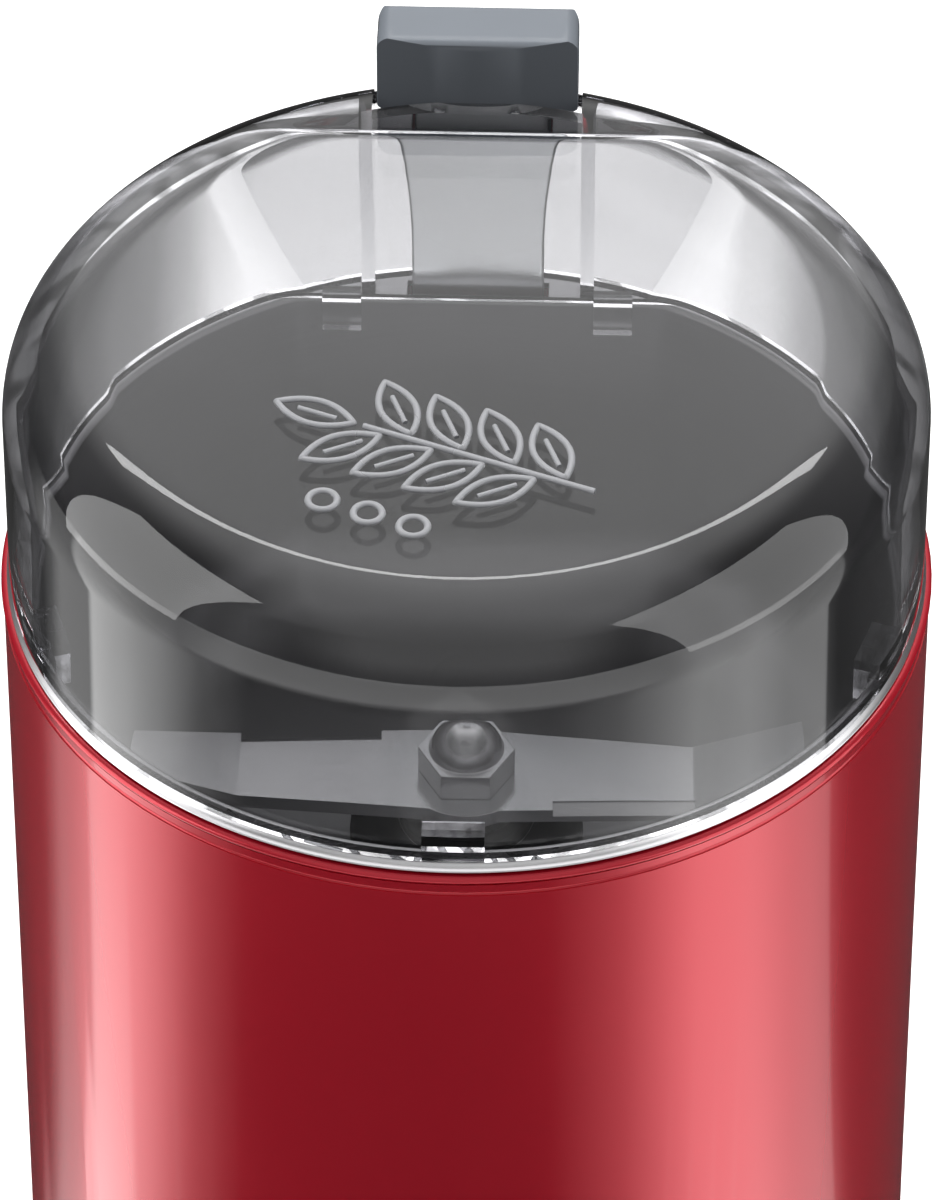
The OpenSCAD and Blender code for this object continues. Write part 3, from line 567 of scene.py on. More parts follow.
@dataclass(frozen=True)
class Clear(Finish):
    """Clear plastic, slightly smoky, that lets the lamps through.

    It bends light less than real plastic, so that its thick shoulder doesn't turn into a mirror,
    and its coat gives it the real gloss.
    """

    density: float = 580.0
    smoke: Colour = (0.86, 0.86, 0.865)
    edge: Colour = (0.17, 0.17, 0.18)
    lamplight: Colour = (0.88, 0.88, 0.885)
    graze: Stops = ((0.358, 0.0), (0.385, 0.42), (0.48, 0.78), (0.75, 0.93), (0.95, 1.0))
    bend: float = 1.25
    coat_bend: float = 1.5
    wipe_scale: float = 60.0
    wipe_blur: float = 0.012
    wipe_depth: float = 0.012 * MM

    def shade(self, bench: Bench) -> None:
        """Joins glass, smoke and the way for the lamps.

        Args:
            bench: Where the material's nodes stand.
        """
        wipe = bench.noise(bench.place(), self.wipe_scale)
        facing = bench.add("ShaderNodeLayerWeight", inputs={"Blend": 0.5}).outputs["Facing"]
        graze = bench.ramp(Flow(bench, facing), *self.graze)
        glass = bench.add("ShaderNodeBsdfPrincipled", inputs={
            "Base Color": bench.blend(graze, self.colour, self.edge),
            "Transmission Weight": 1.0, "IOR": self.bend, "Coat Weight": 1.0,
            "Coat Roughness": 0.0, "Coat IOR": self.coat_bend,
            "Roughness": wipe * self.wipe_blur + self.roughness,
            "Normal": bench.bump(wipe, self.wipe_depth)})
        shadow = bench.add("ShaderNodeBsdfTransparent", inputs={"Color": self.lamplight})
        path = bench.add("ShaderNodeLightPath")
        mix = bench.add("ShaderNodeMixShader", inputs={
            0: path.outputs["Is Shadow Ray"], 1: glass.outputs[0], 2: shadow.outputs[0]})
        smoke = bench.add("ShaderNodeVolumeAbsorption",
                          inputs={"Color": self.smoke, "Density": self.density})
        bench.add("ShaderNodeOutputMaterial",
                  inputs={"Surface": mix.outputs[0], "Volume": smoke.outputs[0]})


@dataclass(frozen=True)
class Frosted(Finish):
    """Pale plastic that lets some light through and blurs it."""

    through: float = 0.95
    bend: float = 1.4
    flow_scale: float = 70.0
    dark: float = 0.95
    light: float = 1.03
    spread: float = 0.06

    def shade(self, bench: Bench) -> None:
        """Lays faint flow marks over a blurred glass.

        Args:
            bench: Where the material's nodes stand.
        """
        flow = bench.noise(bench.place(), self.flow_scale, 3.0)
        bench.surface(Base_Color=self.toned(bench, flow, self.dark, self.light), IOR=self.bend,
                      Roughness=flow * self.spread + self.roughness,
                      Transmission_Weight=self.through)


FINISHES: dict[str, Finish] = {
    "body_red": Moulded("red_gloss", (0.52, 0.006, 0.022), 0.25, grain=5 * MM, depth=0.01 * MM,
                        tone=0.04, coat=0.55, polish=0.03, flake=0.45),
    "dark_plastic": Moulded("dark_satin", (0.035, 0.035, 0.038), 0.42, tone=0.2, polish=0.1),
    "grey_plastic": Moulded("grey_satin", (0.3, 0.31, 0.32), 0.45, tone=0.1, polish=0.1),
    "nylon_white": Moulded("nylon", (0.8, 0.79, 0.73), 0.5, tone=0.06, polish=0.1),
    "button_grey": Moulded("button_satin", (0.152, 0.167, 0.188), 0.26, tone=0.06, polish=0.08),
    "stem_grey": Frosted("stem_frosted", (0.96, 0.985, 1.0), 0.4),
    "capacitor_yellow": Moulded("resin_yellow", (0.78, 0.55, 0.06), 0.25, grain=1 * MM,
                                depth=0.02 * MM, tone=0.1),
    "carbon": Moulded("graphite", (0.045, 0.045, 0.05), 0.5, tone=0.3, polish=0.2),
    "steel_plain": Metal("zinc_steel", (0.6, 0.61, 0.63), 0.33, work=Grain.ZINC),
    # The bowl's steel gets painted shade towards its floor
    "steel_brushed": Metal("brushed_steel", (0.72, 0.715, 0.73), 0.34, work=Grain.TURNED,
                           painted_shade=0.42),
    "blade_steel": Metal("ground_steel", (0.66, 0.66, 0.67), 0.2, work=Grain.ROLLED),
    "aluminium_cast": Metal("cast_aluminium", (0.66, 0.665, 0.68), 0.42, work=Grain.CAST,
                            scratch=0.5 * MM, depth=0.03 * MM),
    "bronze": Metal("sintered_bronze", (0.5, 0.32, 0.16), 0.42, work=Grain.CAST,
                    scratch=0.3 * MM, depth=0.015 * MM),
    "copper_bar": Metal("turned_copper", (0.78, 0.4, 0.24), 0.28, work=Grain.TURNED),
    "brass_sheet": Metal("brass_sheet_metal", (0.78, 0.58, 0.28), 0.28, work=Grain.ROLLED),
    "iron_core": Stacked("core_sheets", (0.34, 0.35, 0.37), 0.4),
    "copper_wire": Lacquered("copper_lacquer", (0.6, 0.2, 0.07), 0.25),
    "rubber_black": Rubbery("black_rubber", (0.022, 0.022, 0.022), 0.7),
    "lid_clear": Clear("smoky_clear", (0.97, 0.97, 0.975), 0.0),
}
RELIEF_MATT = Frosted("lid_matt", (0.6, 0.605, 0.63), 0.25, through=0.55)


# --- Shapes ---------------------------------------------------------------------------------------


def settled(piece: bpy.types.Object) -> bpy.types.Object:
    """Turns an object and its modifiers into a plain mesh.

    Args:
        piece: The object, with live modifiers.

    Returns:
        The same object, with the result as its mesh and no modifier.
    """
    bpy.context.view_layer.update()
    graph = bpy.context.evaluated_depsgraph_get()
    mesh = bpy.data.meshes.new_from_object(piece.evaluated_get(graph))
    mesh.name = piece.name
    piece.modifiers.clear()
    piece.data = mesh
    return piece


class Grower(Bench):
    """A Geometry Nodes tree with named sizes, which grows one piece of things that repeat."""

    def __init__(self, name: str, sizes: dict[str, float]) -> None:
        """Makes the tree and its inputs.

        Args:
            name: The name of the tree and of the piece.
            sizes: The inputs by name. A whole number makes a whole-number input.
        """
        super().__init__(bpy.data.node_groups.new(name, "GeometryNodeTree"))
        face = self.tree.interface
        face.new_socket("Geometry", in_out="OUTPUT", socket_type="NodeSocketGeometry")
        self.name = name
        self.values: dict[str, float] = {}
        for label, value in sizes.items():
            kind = "NodeSocketInt" if isinstance(value, int) else "NodeSocketFloat"
            socket = face.new_socket(label, in_out="INPUT", socket_type=kind)
            self.values[socket.identifier] = value
        outputs = self.add("NodeGroupInput").outputs
        self.sizes = {label: Flow(self, outputs[label]) for label in sizes}

    def tube(self, curve: bpy.types.NodeSocket, thick: Any, sides: int = 8) -> bpy.types.NodeSocket:
        """Draws a round bar along a curve.

        Args:
            curve: The curve.
            thick: The bar's radius.
            sides: The faces round it.

        Returns:
            The bar's mesh.
        """
        section = self.ring(thick, sides)
        return self.add("GeometryNodeCurveToMesh", inputs={
            "Curve": curve, "Profile Curve": section, "Fill Caps": True}).outputs["Mesh"]

    def ring(self, radius: Any, points: int) -> bpy.types.NodeSocket:
        """Makes a level circle as a curve."""
        return self.add("GeometryNodeCurvePrimitiveCircle", {"mode": "RADIUS"},
                        {"Resolution": points, "Radius": radius}).outputs["Curve"]

    def line(self, start: bpy.types.NodeSocket, end: bpy.types.NodeSocket) -> bpy.types.NodeSocket:
        """Makes a straight curve between two points."""
        return self.add("GeometryNodeCurvePrimitiveLine",
                        inputs={"Start": start, "End": end}).outputs["Curve"]

    def together(self, *parts: bpy.types.NodeSocket) -> bpy.types.NodeSocket:
        """Joins geometry.

        Args:
            parts: What is joined.

        Returns:
            All of it as one.
        """
        node = self.add("GeometryNodeJoinGeometry")
        for part in parts:
            self.feed(node.inputs[0], part)
        return node.outputs[0]

    def row(self, count: Any, start: Any, step: Any) -> bpy.types.NodeSocket:
        """Makes points in a straight row."""
        return self.add("GeometryNodeMeshLine", {"mode": "OFFSET"}, {
            "Count": count, "Start Location": start, "Offset": step}).outputs["Mesh"]

    def index(self) -> Flow:
        """Gives the number of each point."""
        return Flow(self, self.add("GeometryNodeInputIndex").outputs[0])

    def stand(self, points: bpy.types.NodeSocket, item: bpy.types.NodeSocket,
              turn: Any = 0.0) -> bpy.types.NodeSocket:
        """Stands an item on every point, turned about the upright.

        Args:
            points: The points.
            item: What stands on each.
            turn: How far it is turned, in radians.

        Returns:
            The items.
        """
        turned = self.add("FunctionNodeEulerToRotation",
                          inputs={0: self.joined(0.0, 0.0, turn)}).outputs[0]
        return self.add("GeometryNodeInstanceOnPoints", inputs={
            "Points": points, "Instance": item, "Rotation": turned}).outputs[0]

    def moved(self, item: bpy.types.NodeSocket, place: tuple[float, float, float],
              turn: tuple[float, float, float] = (0.0, 0.0, 0.0)) -> bpy.types.NodeSocket:
        """Turns and then moves geometry."""
        return self.add("GeometryNodeTransform", inputs={
            "Geometry": item, "Translation": place, "Rotation": turn}).outputs[0]

    def grow(self, item: bpy.types.NodeSocket, finish: Finish) -> bpy.types.Object:
        """Ends the tree and turns what it grows into a plain mesh.

        Args:
            item: The geometry that comes last in the tree.
            finish: The finish that it gets.

        Returns:
            The new piece.
        """
        real = self.add("GeometryNodeRealizeInstances", inputs={"Geometry": item}).outputs[0]
        done = self.add("GeometryNodeSetMaterial",
                        inputs={"Geometry": real, "Material": finish.material()}).outputs[0]
        self.add("NodeGroupOutput", inputs={0: done})
        piece = placed(self.name, bpy.data.meshes.new(self.name))
        modifier = piece.modifiers.new("grow", "NODES")
        modifier.node_group = self.tree
        for identifier, value in self.values.items():
            modifier[identifier] = value
        settled(piece)
        for face in piece.data.polygons:
            face.use_smooth = True
        return piece


class Spring(Grower):
    """A tree that starts with an upright spring of round wire."""

    def __init__(self, name: str, radius: float, wire: float, length: float,
                 turns: float) -> None:
        """Makes the tree and winds the spring.

        Args:
            name: The name of the tree and of the piece.
            radius: The radius of the wire's middle line.
            wire: The wire's radius.
            length: The middle line's height.
            turns: The number of turns.
        """
        super().__init__(name, {"Coil radius": radius, "Wire radius": wire, "Length": length,
                                "Turns": turns})
        size = self.sizes
        helix = self.add("GeometryNodeCurveSpiral", inputs={
            "Resolution": 24, "Rotations": size["Turns"], "Start Radius": size["Coil radius"],
            "End Radius": size["Coil radius"], "Height": size["Length"]}).outputs["Curve"]
        self.coil = self.tube(helix, size["Wire radius"])


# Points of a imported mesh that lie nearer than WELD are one, and so are those of a new mesh nearer
# than CLOSE. SLACK is how far a point may miss a height. Faces that turn less than FLAT are one.
WELD = 0.0005 * MM
CLOSE = 0.001 * MM
SLACK = 0.01 * MM
FLAT = math.radians(0.25)


def merged_copy(node: str, name: str) -> bpy.types.Object:
    """Copies a node's mesh, joins its loose triangles and its flat faces.

    Args:
        node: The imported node.
        name: The new object's name.

    Returns:
        The new object.
    """
    mesh = bpy.data.meshes.new(name)
    work = bmesh.new()
    work.from_mesh(frame["nodes"][node].data)
    bmesh.ops.remove_doubles(work, verts=work.verts, dist=WELD)
    bmesh.ops.dissolve_limit(work, angle_limit=FLAT, verts=work.verts, edges=work.edges)
    for face in work.faces:
        face.smooth = True
        face.material_index = 0
    work.to_mesh(mesh)
    work.free()
    old = mesh.attributes.get("custom_normal")
    if old is not None:
        mesh.attributes.remove(old)
    return placed(name, mesh)


@dataclass(frozen=True)
class Plan:
    """A level outline round the axis: a circle with a flat back and rounded upright corners."""

    radius: float
    flat: float = 1.0
    corner: float = 5 * MM

    def reach(self, angle: float) -> float:
        """Measures from the axis to the outline.

        Args:
            angle: The direction in radians, where a quarter turn points to the back.

        Returns:
            The distance in metres.
        """
        ahead, aside = math.sin(angle), abs(math.cos(angle))
        if self.flat >= self.radius or ahead <= 0:
            return self.radius
        middle = self.flat - self.corner
        side = math.sqrt(max((self.radius - self.corner) ** 2 - middle ** 2, 0.0))
        if ahead * side >= aside * self.flat:
            return self.flat / ahead
        if ahead * side <= aside * middle:
            return self.radius
        along = ahead * middle + aside * side
        return along + math.sqrt(along ** 2 - side ** 2 - middle ** 2 + self.corner ** 2)


Ring = tuple[Plan, float]
STEPS = 360


def loft(name: str, rings: Sequence[Ring], closed: bool = False) -> bpy.types.Object:
    """Skins level outlines into one closed solid.

    Args:
        name: The new object's name.
        rings: Outlines with their heights, in order along the skin.
        closed: Whether the last outline joins the first. Otherwise both ends are filled.

    Returns:
        The new object, with its faces outwards.
    """
    work = bmesh.new()
    turns = [2 * math.pi * (step + 0.5) / STEPS for step in range(STEPS)]
    loops = []
    for plan, height in rings:
        reach = [plan.reach(turn) for turn in turns]
        loops.append([work.verts.new((r * math.cos(t), r * math.sin(t), height))
                      for r, t in zip(reach, turns)])
    pairs = list(zip(loops, loops[1:])) + ([(loops[-1], loops[0])] if closed else [])
    for low, high in pairs:
        for here in range(STEPS):
            there = (here + 1) % STEPS
            work.faces.new((low[here], low[there], high[there], high[here]))
    if not closed:
        work.faces.new(loops[0])
        work.faces.new(loops[-1])
    return finished(name, work)


def finished(name: str, work: bmesh.types.BMesh) -> bpy.types.Object:
    """Makes an object of a closed bmesh, with its faces outwards and smooth.

    Args:
        name: The new object's name.
        work: The mesh, which is freed.

    Returns:
        The new object.
    """
    bmesh.ops.remove_doubles(work, verts=work.verts, dist=CLOSE)
    bmesh.ops.recalc_face_normals(work, faces=work.faces)
    if work.calc_volume(signed=True) < 0:
        bmesh.ops.reverse_faces(work, faces=work.faces)
    for face in work.faces:
        face.smooth = True
    mesh = bpy.data.meshes.new(name)
    work.to_mesh(mesh)
    work.free()
    return placed(name, mesh)


def prism(name: str, outline: Sequence[tuple[float, float]], span: tuple[float, float],
          turn: float = 0.0) -> bpy.types.Object:
    """Draws an outline of depth and height out sideways.

    Args:
        name: The new object's name.
        outline: The corners as depth and height.
        span: Where the solid starts and ends across the body.
        turn: How far it is turned about the axis, in radians.

    Returns:
        The new object.
    """
    work = bmesh.new()
    ends = [[work.verts.new((side, depth, height)) for depth, height in outline]
            for side in span]
    work.faces.new(ends[0])
    work.faces.new(ends[1])
    for here in range(len(outline)):
        there = (here + 1) % len(outline)
        work.faces.new((ends[0][here], ends[0][there], ends[1][there], ends[1][here]))
    bmesh.ops.rotate(work, verts=work.verts, cent=(0, 0, 0),
                     matrix=Matrix.Rotation(turn, 3, "Z"))
    return finished(name, work)


def block(name: str, low: Sequence[float], high: Sequence[float]) -> bpy.types.Object:
    """Makes a box between its lowest and its highest corner."""
    outline = [(low[1], low[2]), (high[1], low[2]), (high[1], high[2]), (low[1], high[2])]
    return prism(name, outline, (low[0], high[0]))


def sealed(piece: bpy.types.Object) -> bpy.types.Object:
    """Fills the slivers that a cut can leave open.

    Args:
        piece: The piece.

    Returns:
        The same piece.
    """
    work = bmesh.new()
    work.from_mesh(piece.data)
    edges = [edge for edge in work.edges if edge.is_boundary]
    if edges:
        bmesh.ops.holes_fill(work, edges=edges, sides=4)
        work.to_mesh(piece.data)
    work.free()
    return piece


def combine(piece: bpy.types.Object, operation: str,
            tools: Sequence[bpy.types.Object]) -> bpy.types.Object:
    """Cuts, joins or intersects a piece with others, which are used up.

    Args:
        piece: The piece that is kept.
        operation: DIFFERENCE, UNION or INTERSECT.
        tools: The other solids.

    Returns:
        The piece, as a plain mesh.
    """
    for tool in tools:
        step = piece.modifiers.new(tool.name, "BOOLEAN")
        step.operation = operation
        step.solver = "EXACT"
        step.object = tool
    settled(piece)
    for tool in tools:
        bpy.data.objects.remove(tool)
    return sealed(piece)


def rounded(piece: bpy.types.Object, width: float, segments: int = 2,
            angle: float = 32.0) -> bpy.types.Object:
    """Rounds a piece's sharp edges.

    Args:
        piece: The piece.
        width: The rounding's width in metres.
        segments: The faces across it.
        angle: Edges sharper than this, in degrees, are rounded.

    Returns:
        The piece, as a plain mesh.
    """
    tool = piece.modifiers.new("edges", "BEVEL")
    tool.width = width
    tool.segments = segments
    tool.limit_method = "ANGLE"
    tool.angle_limit = math.radians(angle)
    tool.harden_normals = True
    return settled(piece)


def shortened(piece: bpy.types.Object, top: float, low: float, height: float) -> None:
    """Draws a piece's foot up, so that what lies below a height gets shorter.

    Args:
        piece: The piece.
        top: Where the foot starts.
        low: Where it ends.
        height: How high it is afterwards.
    """
    share = height / (top - low)
    for vertex in piece.data.vertices:
        if low - SLACK <= vertex.co.z < top:
            vertex.co.z = top - (top - vertex.co.z) * share


def arc_steps(count: int) -> list[float]:
    """Gives angles from 0 to a quarter turn."""
    return [math.pi / 2 * step / count for step in range(count + 1)]


@dataclass
class Assembly:
    """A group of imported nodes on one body, and the pieces that dress them."""

    body: str
    nodes: tuple[str, ...]
    edges: dict[str, float] = field(default_factory=dict)

    def slot_of(self, node: str) -> str:
        """Looks up a node's material slot in the record."""
        rows = frame["record"]["subparts"]
        return next(row["material_slot"] for row in rows if row["node"] == node)

    def paint(self, nodes: Iterable[str]) -> None:
        """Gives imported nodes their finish.

        Args:
            nodes: The nodes' names.
        """
        for node in nodes:
            finish = FINISHES[self.slot_of(node)].material()
            for place in frame["nodes"][node].material_slots:
                place.material = finish
            log.info("painted %s", node)

    def keep(self, piece: bpy.types.Object, slot: str, *nodes: str,
             finish: Finish | None = None) -> None:
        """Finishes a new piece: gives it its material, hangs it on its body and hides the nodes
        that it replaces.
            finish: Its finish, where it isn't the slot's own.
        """
        piece.data.materials.clear()
        piece.data.materials.append((finish or FINISHES[slot]).material())
        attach(piece, self.body)
        if nodes:
            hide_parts(*nodes)
        log.info("%s: %d faces on %s", piece.name, len(piece.data.polygons), self.body)

    def soften(self, node: str, width: float) -> None:
        """Stands a copy with edges rounded by a width in a node's place."""
        piece = rounded(merged_copy(node, f"{node}_soft"), width)
        self.keep(piece, self.slot_of(node), node)

    def stand_short(self, node: str, name: str, span: tuple[float, float], height: float,
                    edge: float) -> None:
        """Stands a copy with a shorter foot and rounded edges in a node's place.

        Args:
            node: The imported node.
            name: The new object's name.
            span: Where the foot starts and ends.
            height: How high it is afterwards.
            edge: The rounding's width in metres.
        """
        piece = merged_copy(node, name)
        shortened(piece, *span, height)
        self.keep(rounded(piece, edge), self.slot_of(node), node)

    def own(self) -> set[str]:
        """Builds the pieces that have shapes of their own.

        Returns:
            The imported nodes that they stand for.
        """
        return set()

    def dress(self) -> None:
        """Dresses every node of the assembly."""
        done = self.own()
        self.paint(node for node in self.nodes if node not in self.edges and node not in done)
        for node, width in self.edges.items():
            self.soften(node, width)


@dataclass
class Housing(Assembly):
    """The red body with the base, its screws and feet, and the cord's way in."""

    bead_top: float = 138.0 * MM
    bead_h: float = 1.8 * MM
    bead_look: float = 0.9 * MM
    edge: float = 0.2 * MM

    def own(self) -> set[str]:
        """Makes the body with the narrow bead round its top edge.

        Returns:
            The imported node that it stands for.
        """
        bead = (self.bead_top, self.bead_top - self.bead_h)
        self.stand_short("housing", "housing_shell", bead, self.bead_look, self.edge)
        return {"housing"}


@dataclass
class Motor(Assembly):
    """The brush motor's fixed side, hung under its plate."""

    coil: float = 1.7 * MM
    wire: float = 0.28 * MM
    turns: float = 5.0
    clear: float = 0.1 * MM

    def own(self) -> set[str]:
        """Winds the two brush springs from round wire.

        Returns:
            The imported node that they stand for.
        """
        low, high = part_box("brush_springs")
        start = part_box("carbon_brushes")[1][0] + self.wire + self.clear
        tree = Spring("brush_coils", self.coil, self.wire, high[0] - self.wire - start,
                      self.turns)
        right = tree.moved(tree.coil, (start, 0.0, (low[2] + high[2]) / 2),
                           (0.0, math.pi / 2, 0.0))
        left = tree.moved(right, (0.0, 0.0, 0.0), (0.0, 0.0, math.pi))
        springs = tree.grow(tree.together(right, left), FINISHES["steel_plain"])
        self.keep(springs, "steel_plain", "brush_springs")
        return {"brush_springs"}


@dataclass
class Interlock(Assembly):
    """The switch under the bowl, with the spring that lifts the push rod."""

    coil: float = 1.48 * MM
    wire: float = 0.24 * MM
    turns: float = 7.0
    stroke: float = 3.0 * MM

    def own(self) -> set[str]:
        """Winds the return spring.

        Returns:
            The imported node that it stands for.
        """
        low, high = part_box("return_spring")
        height, middle = high[2] - low[2], (low[1] + high[1]) / 2
        tree = Spring("return_coil", self.coil, self.wire, height - 2 * self.wire, self.turns)
        stood = tree.moved(tree.coil, (0.0, middle, low[2] + self.wire))
        spring = tree.grow(stood, FINISHES["steel_plain"])
        self.keep(spring, "steel_plain", "return_spring")
        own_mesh(spring)
        return {"return_spring"}


@dataclass
class Rotor(Assembly):
    """The shaft with its armature, fan, drive hub and blade."""

    bundles: int = 36
    wire: float = 0.32 * MM
    corner: float = 2.0 * MM
    corner_steps: int = 5
    sides: int = 6
    margin: float = 2.6 * MM

    def own(self) -> set[str]:
        """Lays the wires of the armature's winding over both of its heads.

        Returns:
            Nothing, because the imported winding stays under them.
        """
        core_low, core_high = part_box("armature_core")
        low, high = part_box("armature_winding")
        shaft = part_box("motor_shaft")[1][0]
        head = core_low[2] - low[2] - self.wire
        across = core_high[0] - shaft - self.margin
        middle = (core_high[0] + shaft) / 2
        tree = Grower("winding_wires", {"Wires": self.bundles, "Wire radius": self.wire,
                                        "Head height": head, "Head width": across,
                                        "Corner": self.corner})
        size = tree.sizes
        flat = tree.add("GeometryNodeCurvePrimitiveQuadrilateral", {"mode": "RECTANGLE"},
                        {"Width": size["Head width"], "Height": size["Head height"]}).outputs[0]
        loop = tree.add("GeometryNodeFilletCurve", {"mode": "POLY"}, {
            "Curve": flat, "Radius": size["Corner"], "Limit Radius": True,
            "Count": self.corner_steps}).outputs[0]
        upright = tree.moved(tree.tube(loop, size["Wire radius"], self.sides),
                             (middle, 0.0, 0.0), (math.pi / 2, 0.0, 0.0))
        points = tree.row(size["Wires"], (0.0, 0.0, 0.0), (0.0, 0.0, 0.0))
        turn = tree.index() / size["Wires"] * (2 * math.pi)
        head_ring = tree.stand(points, upright, turn)
        ends = [tree.moved(head_ring, (0.0, 0.0, place))
                for place in ((low[2] + core_low[2]) / 2, (high[2] + core_high[2]) / 2)]
        wires = tree.grow(tree.together(*ends), FINISHES["copper_wire"])
        self.keep(wires, "copper_wire")
        return set()


@dataclass(frozen=True)
class Relief:
    """The raised design on the lid: a sprig of leaves with a stalk, and a few round seeds."""

    leaves: int = 9
    leaf_length: float = 8.2 * MM
    leaf_half: float = 1.75 * MM
    leaf_points: int = 40
    lean: float = math.radians(48)
    rib_start: float = 0.22
    rib_end: float = 0.72
    rib_share: float = 0.8
    ridge: float = 0.36 * MM
    pitch: float = 2.7 * MM
    gap: float = 1.0 * MM
    foot: tuple[float, float, float] = (13 * MM, -24 * MM, 0.0)
    turn: float = math.radians(68)
    seeds: int = 3
    seed_radius: float = 1.4 * MM
    seed_points: int = 24
    seed_first: tuple[float, float, float] = (-13 * MM, -26 * MM, 0.0)
    seed_step: tuple[float, float, float] = (4.4 * MM, -1.8 * MM, 0.0)
    sunk: float = 0.06 * MM

    def _leaf(self, tree: Grower) -> bpy.types.NodeSocket:
        """Draws one leaf as a rim that is pointed at both ends, with a rib.

        Args:
            tree: The tree that the leaf's nodes join.

        Returns:
            The leaf, which points to the back.
        """
        length, gap, ridge = (tree.sizes[name] for name in ("Leaf length", "Gap", "Ridge"))
        x, y, _ = tree.parts(tree.add("GeometryNodeInputPosition").outputs[0])
        bent = tree.joined(x * x.size() * tree.sizes["Leaf half width"],
                           (y + 1.0) * 0.5 * length + gap, 0.0)
        rim = tree.add("GeometryNodeSetPosition", inputs={
            "Geometry": tree.ring(1.0, self.leaf_points), "Position": bent}).outputs[0]
        rib = tree.line(tree.joined(0.0, length * self.rib_start + gap, 0.0),
                        tree.joined(0.0, length * self.rib_end + gap, 0.0))
        return tree.together(tree.tube(rim, ridge), tree.tube(rib, ridge * self.rib_share))

    def _sprig(self, tree: Grower) -> bpy.types.NodeSocket:
        """Stands the leaves on both sides of the stalk, with the last one at its end.

        Args:
            tree: The tree that the sprig's nodes join.

        Returns:
            The sprig in its place.
        """
        count, ridge = tree.sizes["Leaves"], tree.sizes["Ridge"]
        step = tree.joined(0.0, tree.sizes["Pitch"], 0.0)
        number = tree.index()
        # Only the last leaf isn't one of a pair, and it stands straight
        paired = number.below(count - 1.5)
        turn = ((number % 2) * 2 - 1) * paired * self.lean
        leaves = tree.stand(tree.row(count, step, step), self._leaf(tree), turn)
        tip = tree.joined(0.0, tree.sizes["Pitch"] * count, 0.0)
        stalk = tree.tube(tree.line(tree.joined(0.0, 0.0, 0.0), tip), ridge)
        return tree.moved(tree.together(leaves, stalk), self.foot, (0.0, 0.0, self.turn))

    def piece(self, top: float) -> bpy.types.Object:
        """Grows the design on the lid's top face.

        Args:
            top: The face's height.

        Returns:
            The new piece.
        """
        tree = Grower("lid_relief", {
            "Leaves": self.leaves, "Leaf length": self.leaf_length,
            "Leaf half width": self.leaf_half, "Ridge": self.ridge, "Pitch": self.pitch,
            "Gap": self.gap, "Seeds": self.seeds, "Seed radius": self.seed_radius})
        seed = tree.tube(tree.ring(tree.sizes["Seed radius"], self.seed_points),
                         tree.sizes["Ridge"])
        seeds = tree.stand(tree.row(tree.sizes["Seeds"], self.seed_first, self.seed_step), seed)
        raised = tree.moved(tree.together(self._sprig(tree), seeds), (0.0, 0.0, top - self.sunk))
        return tree.grow(raised, RELIEF_MATT)


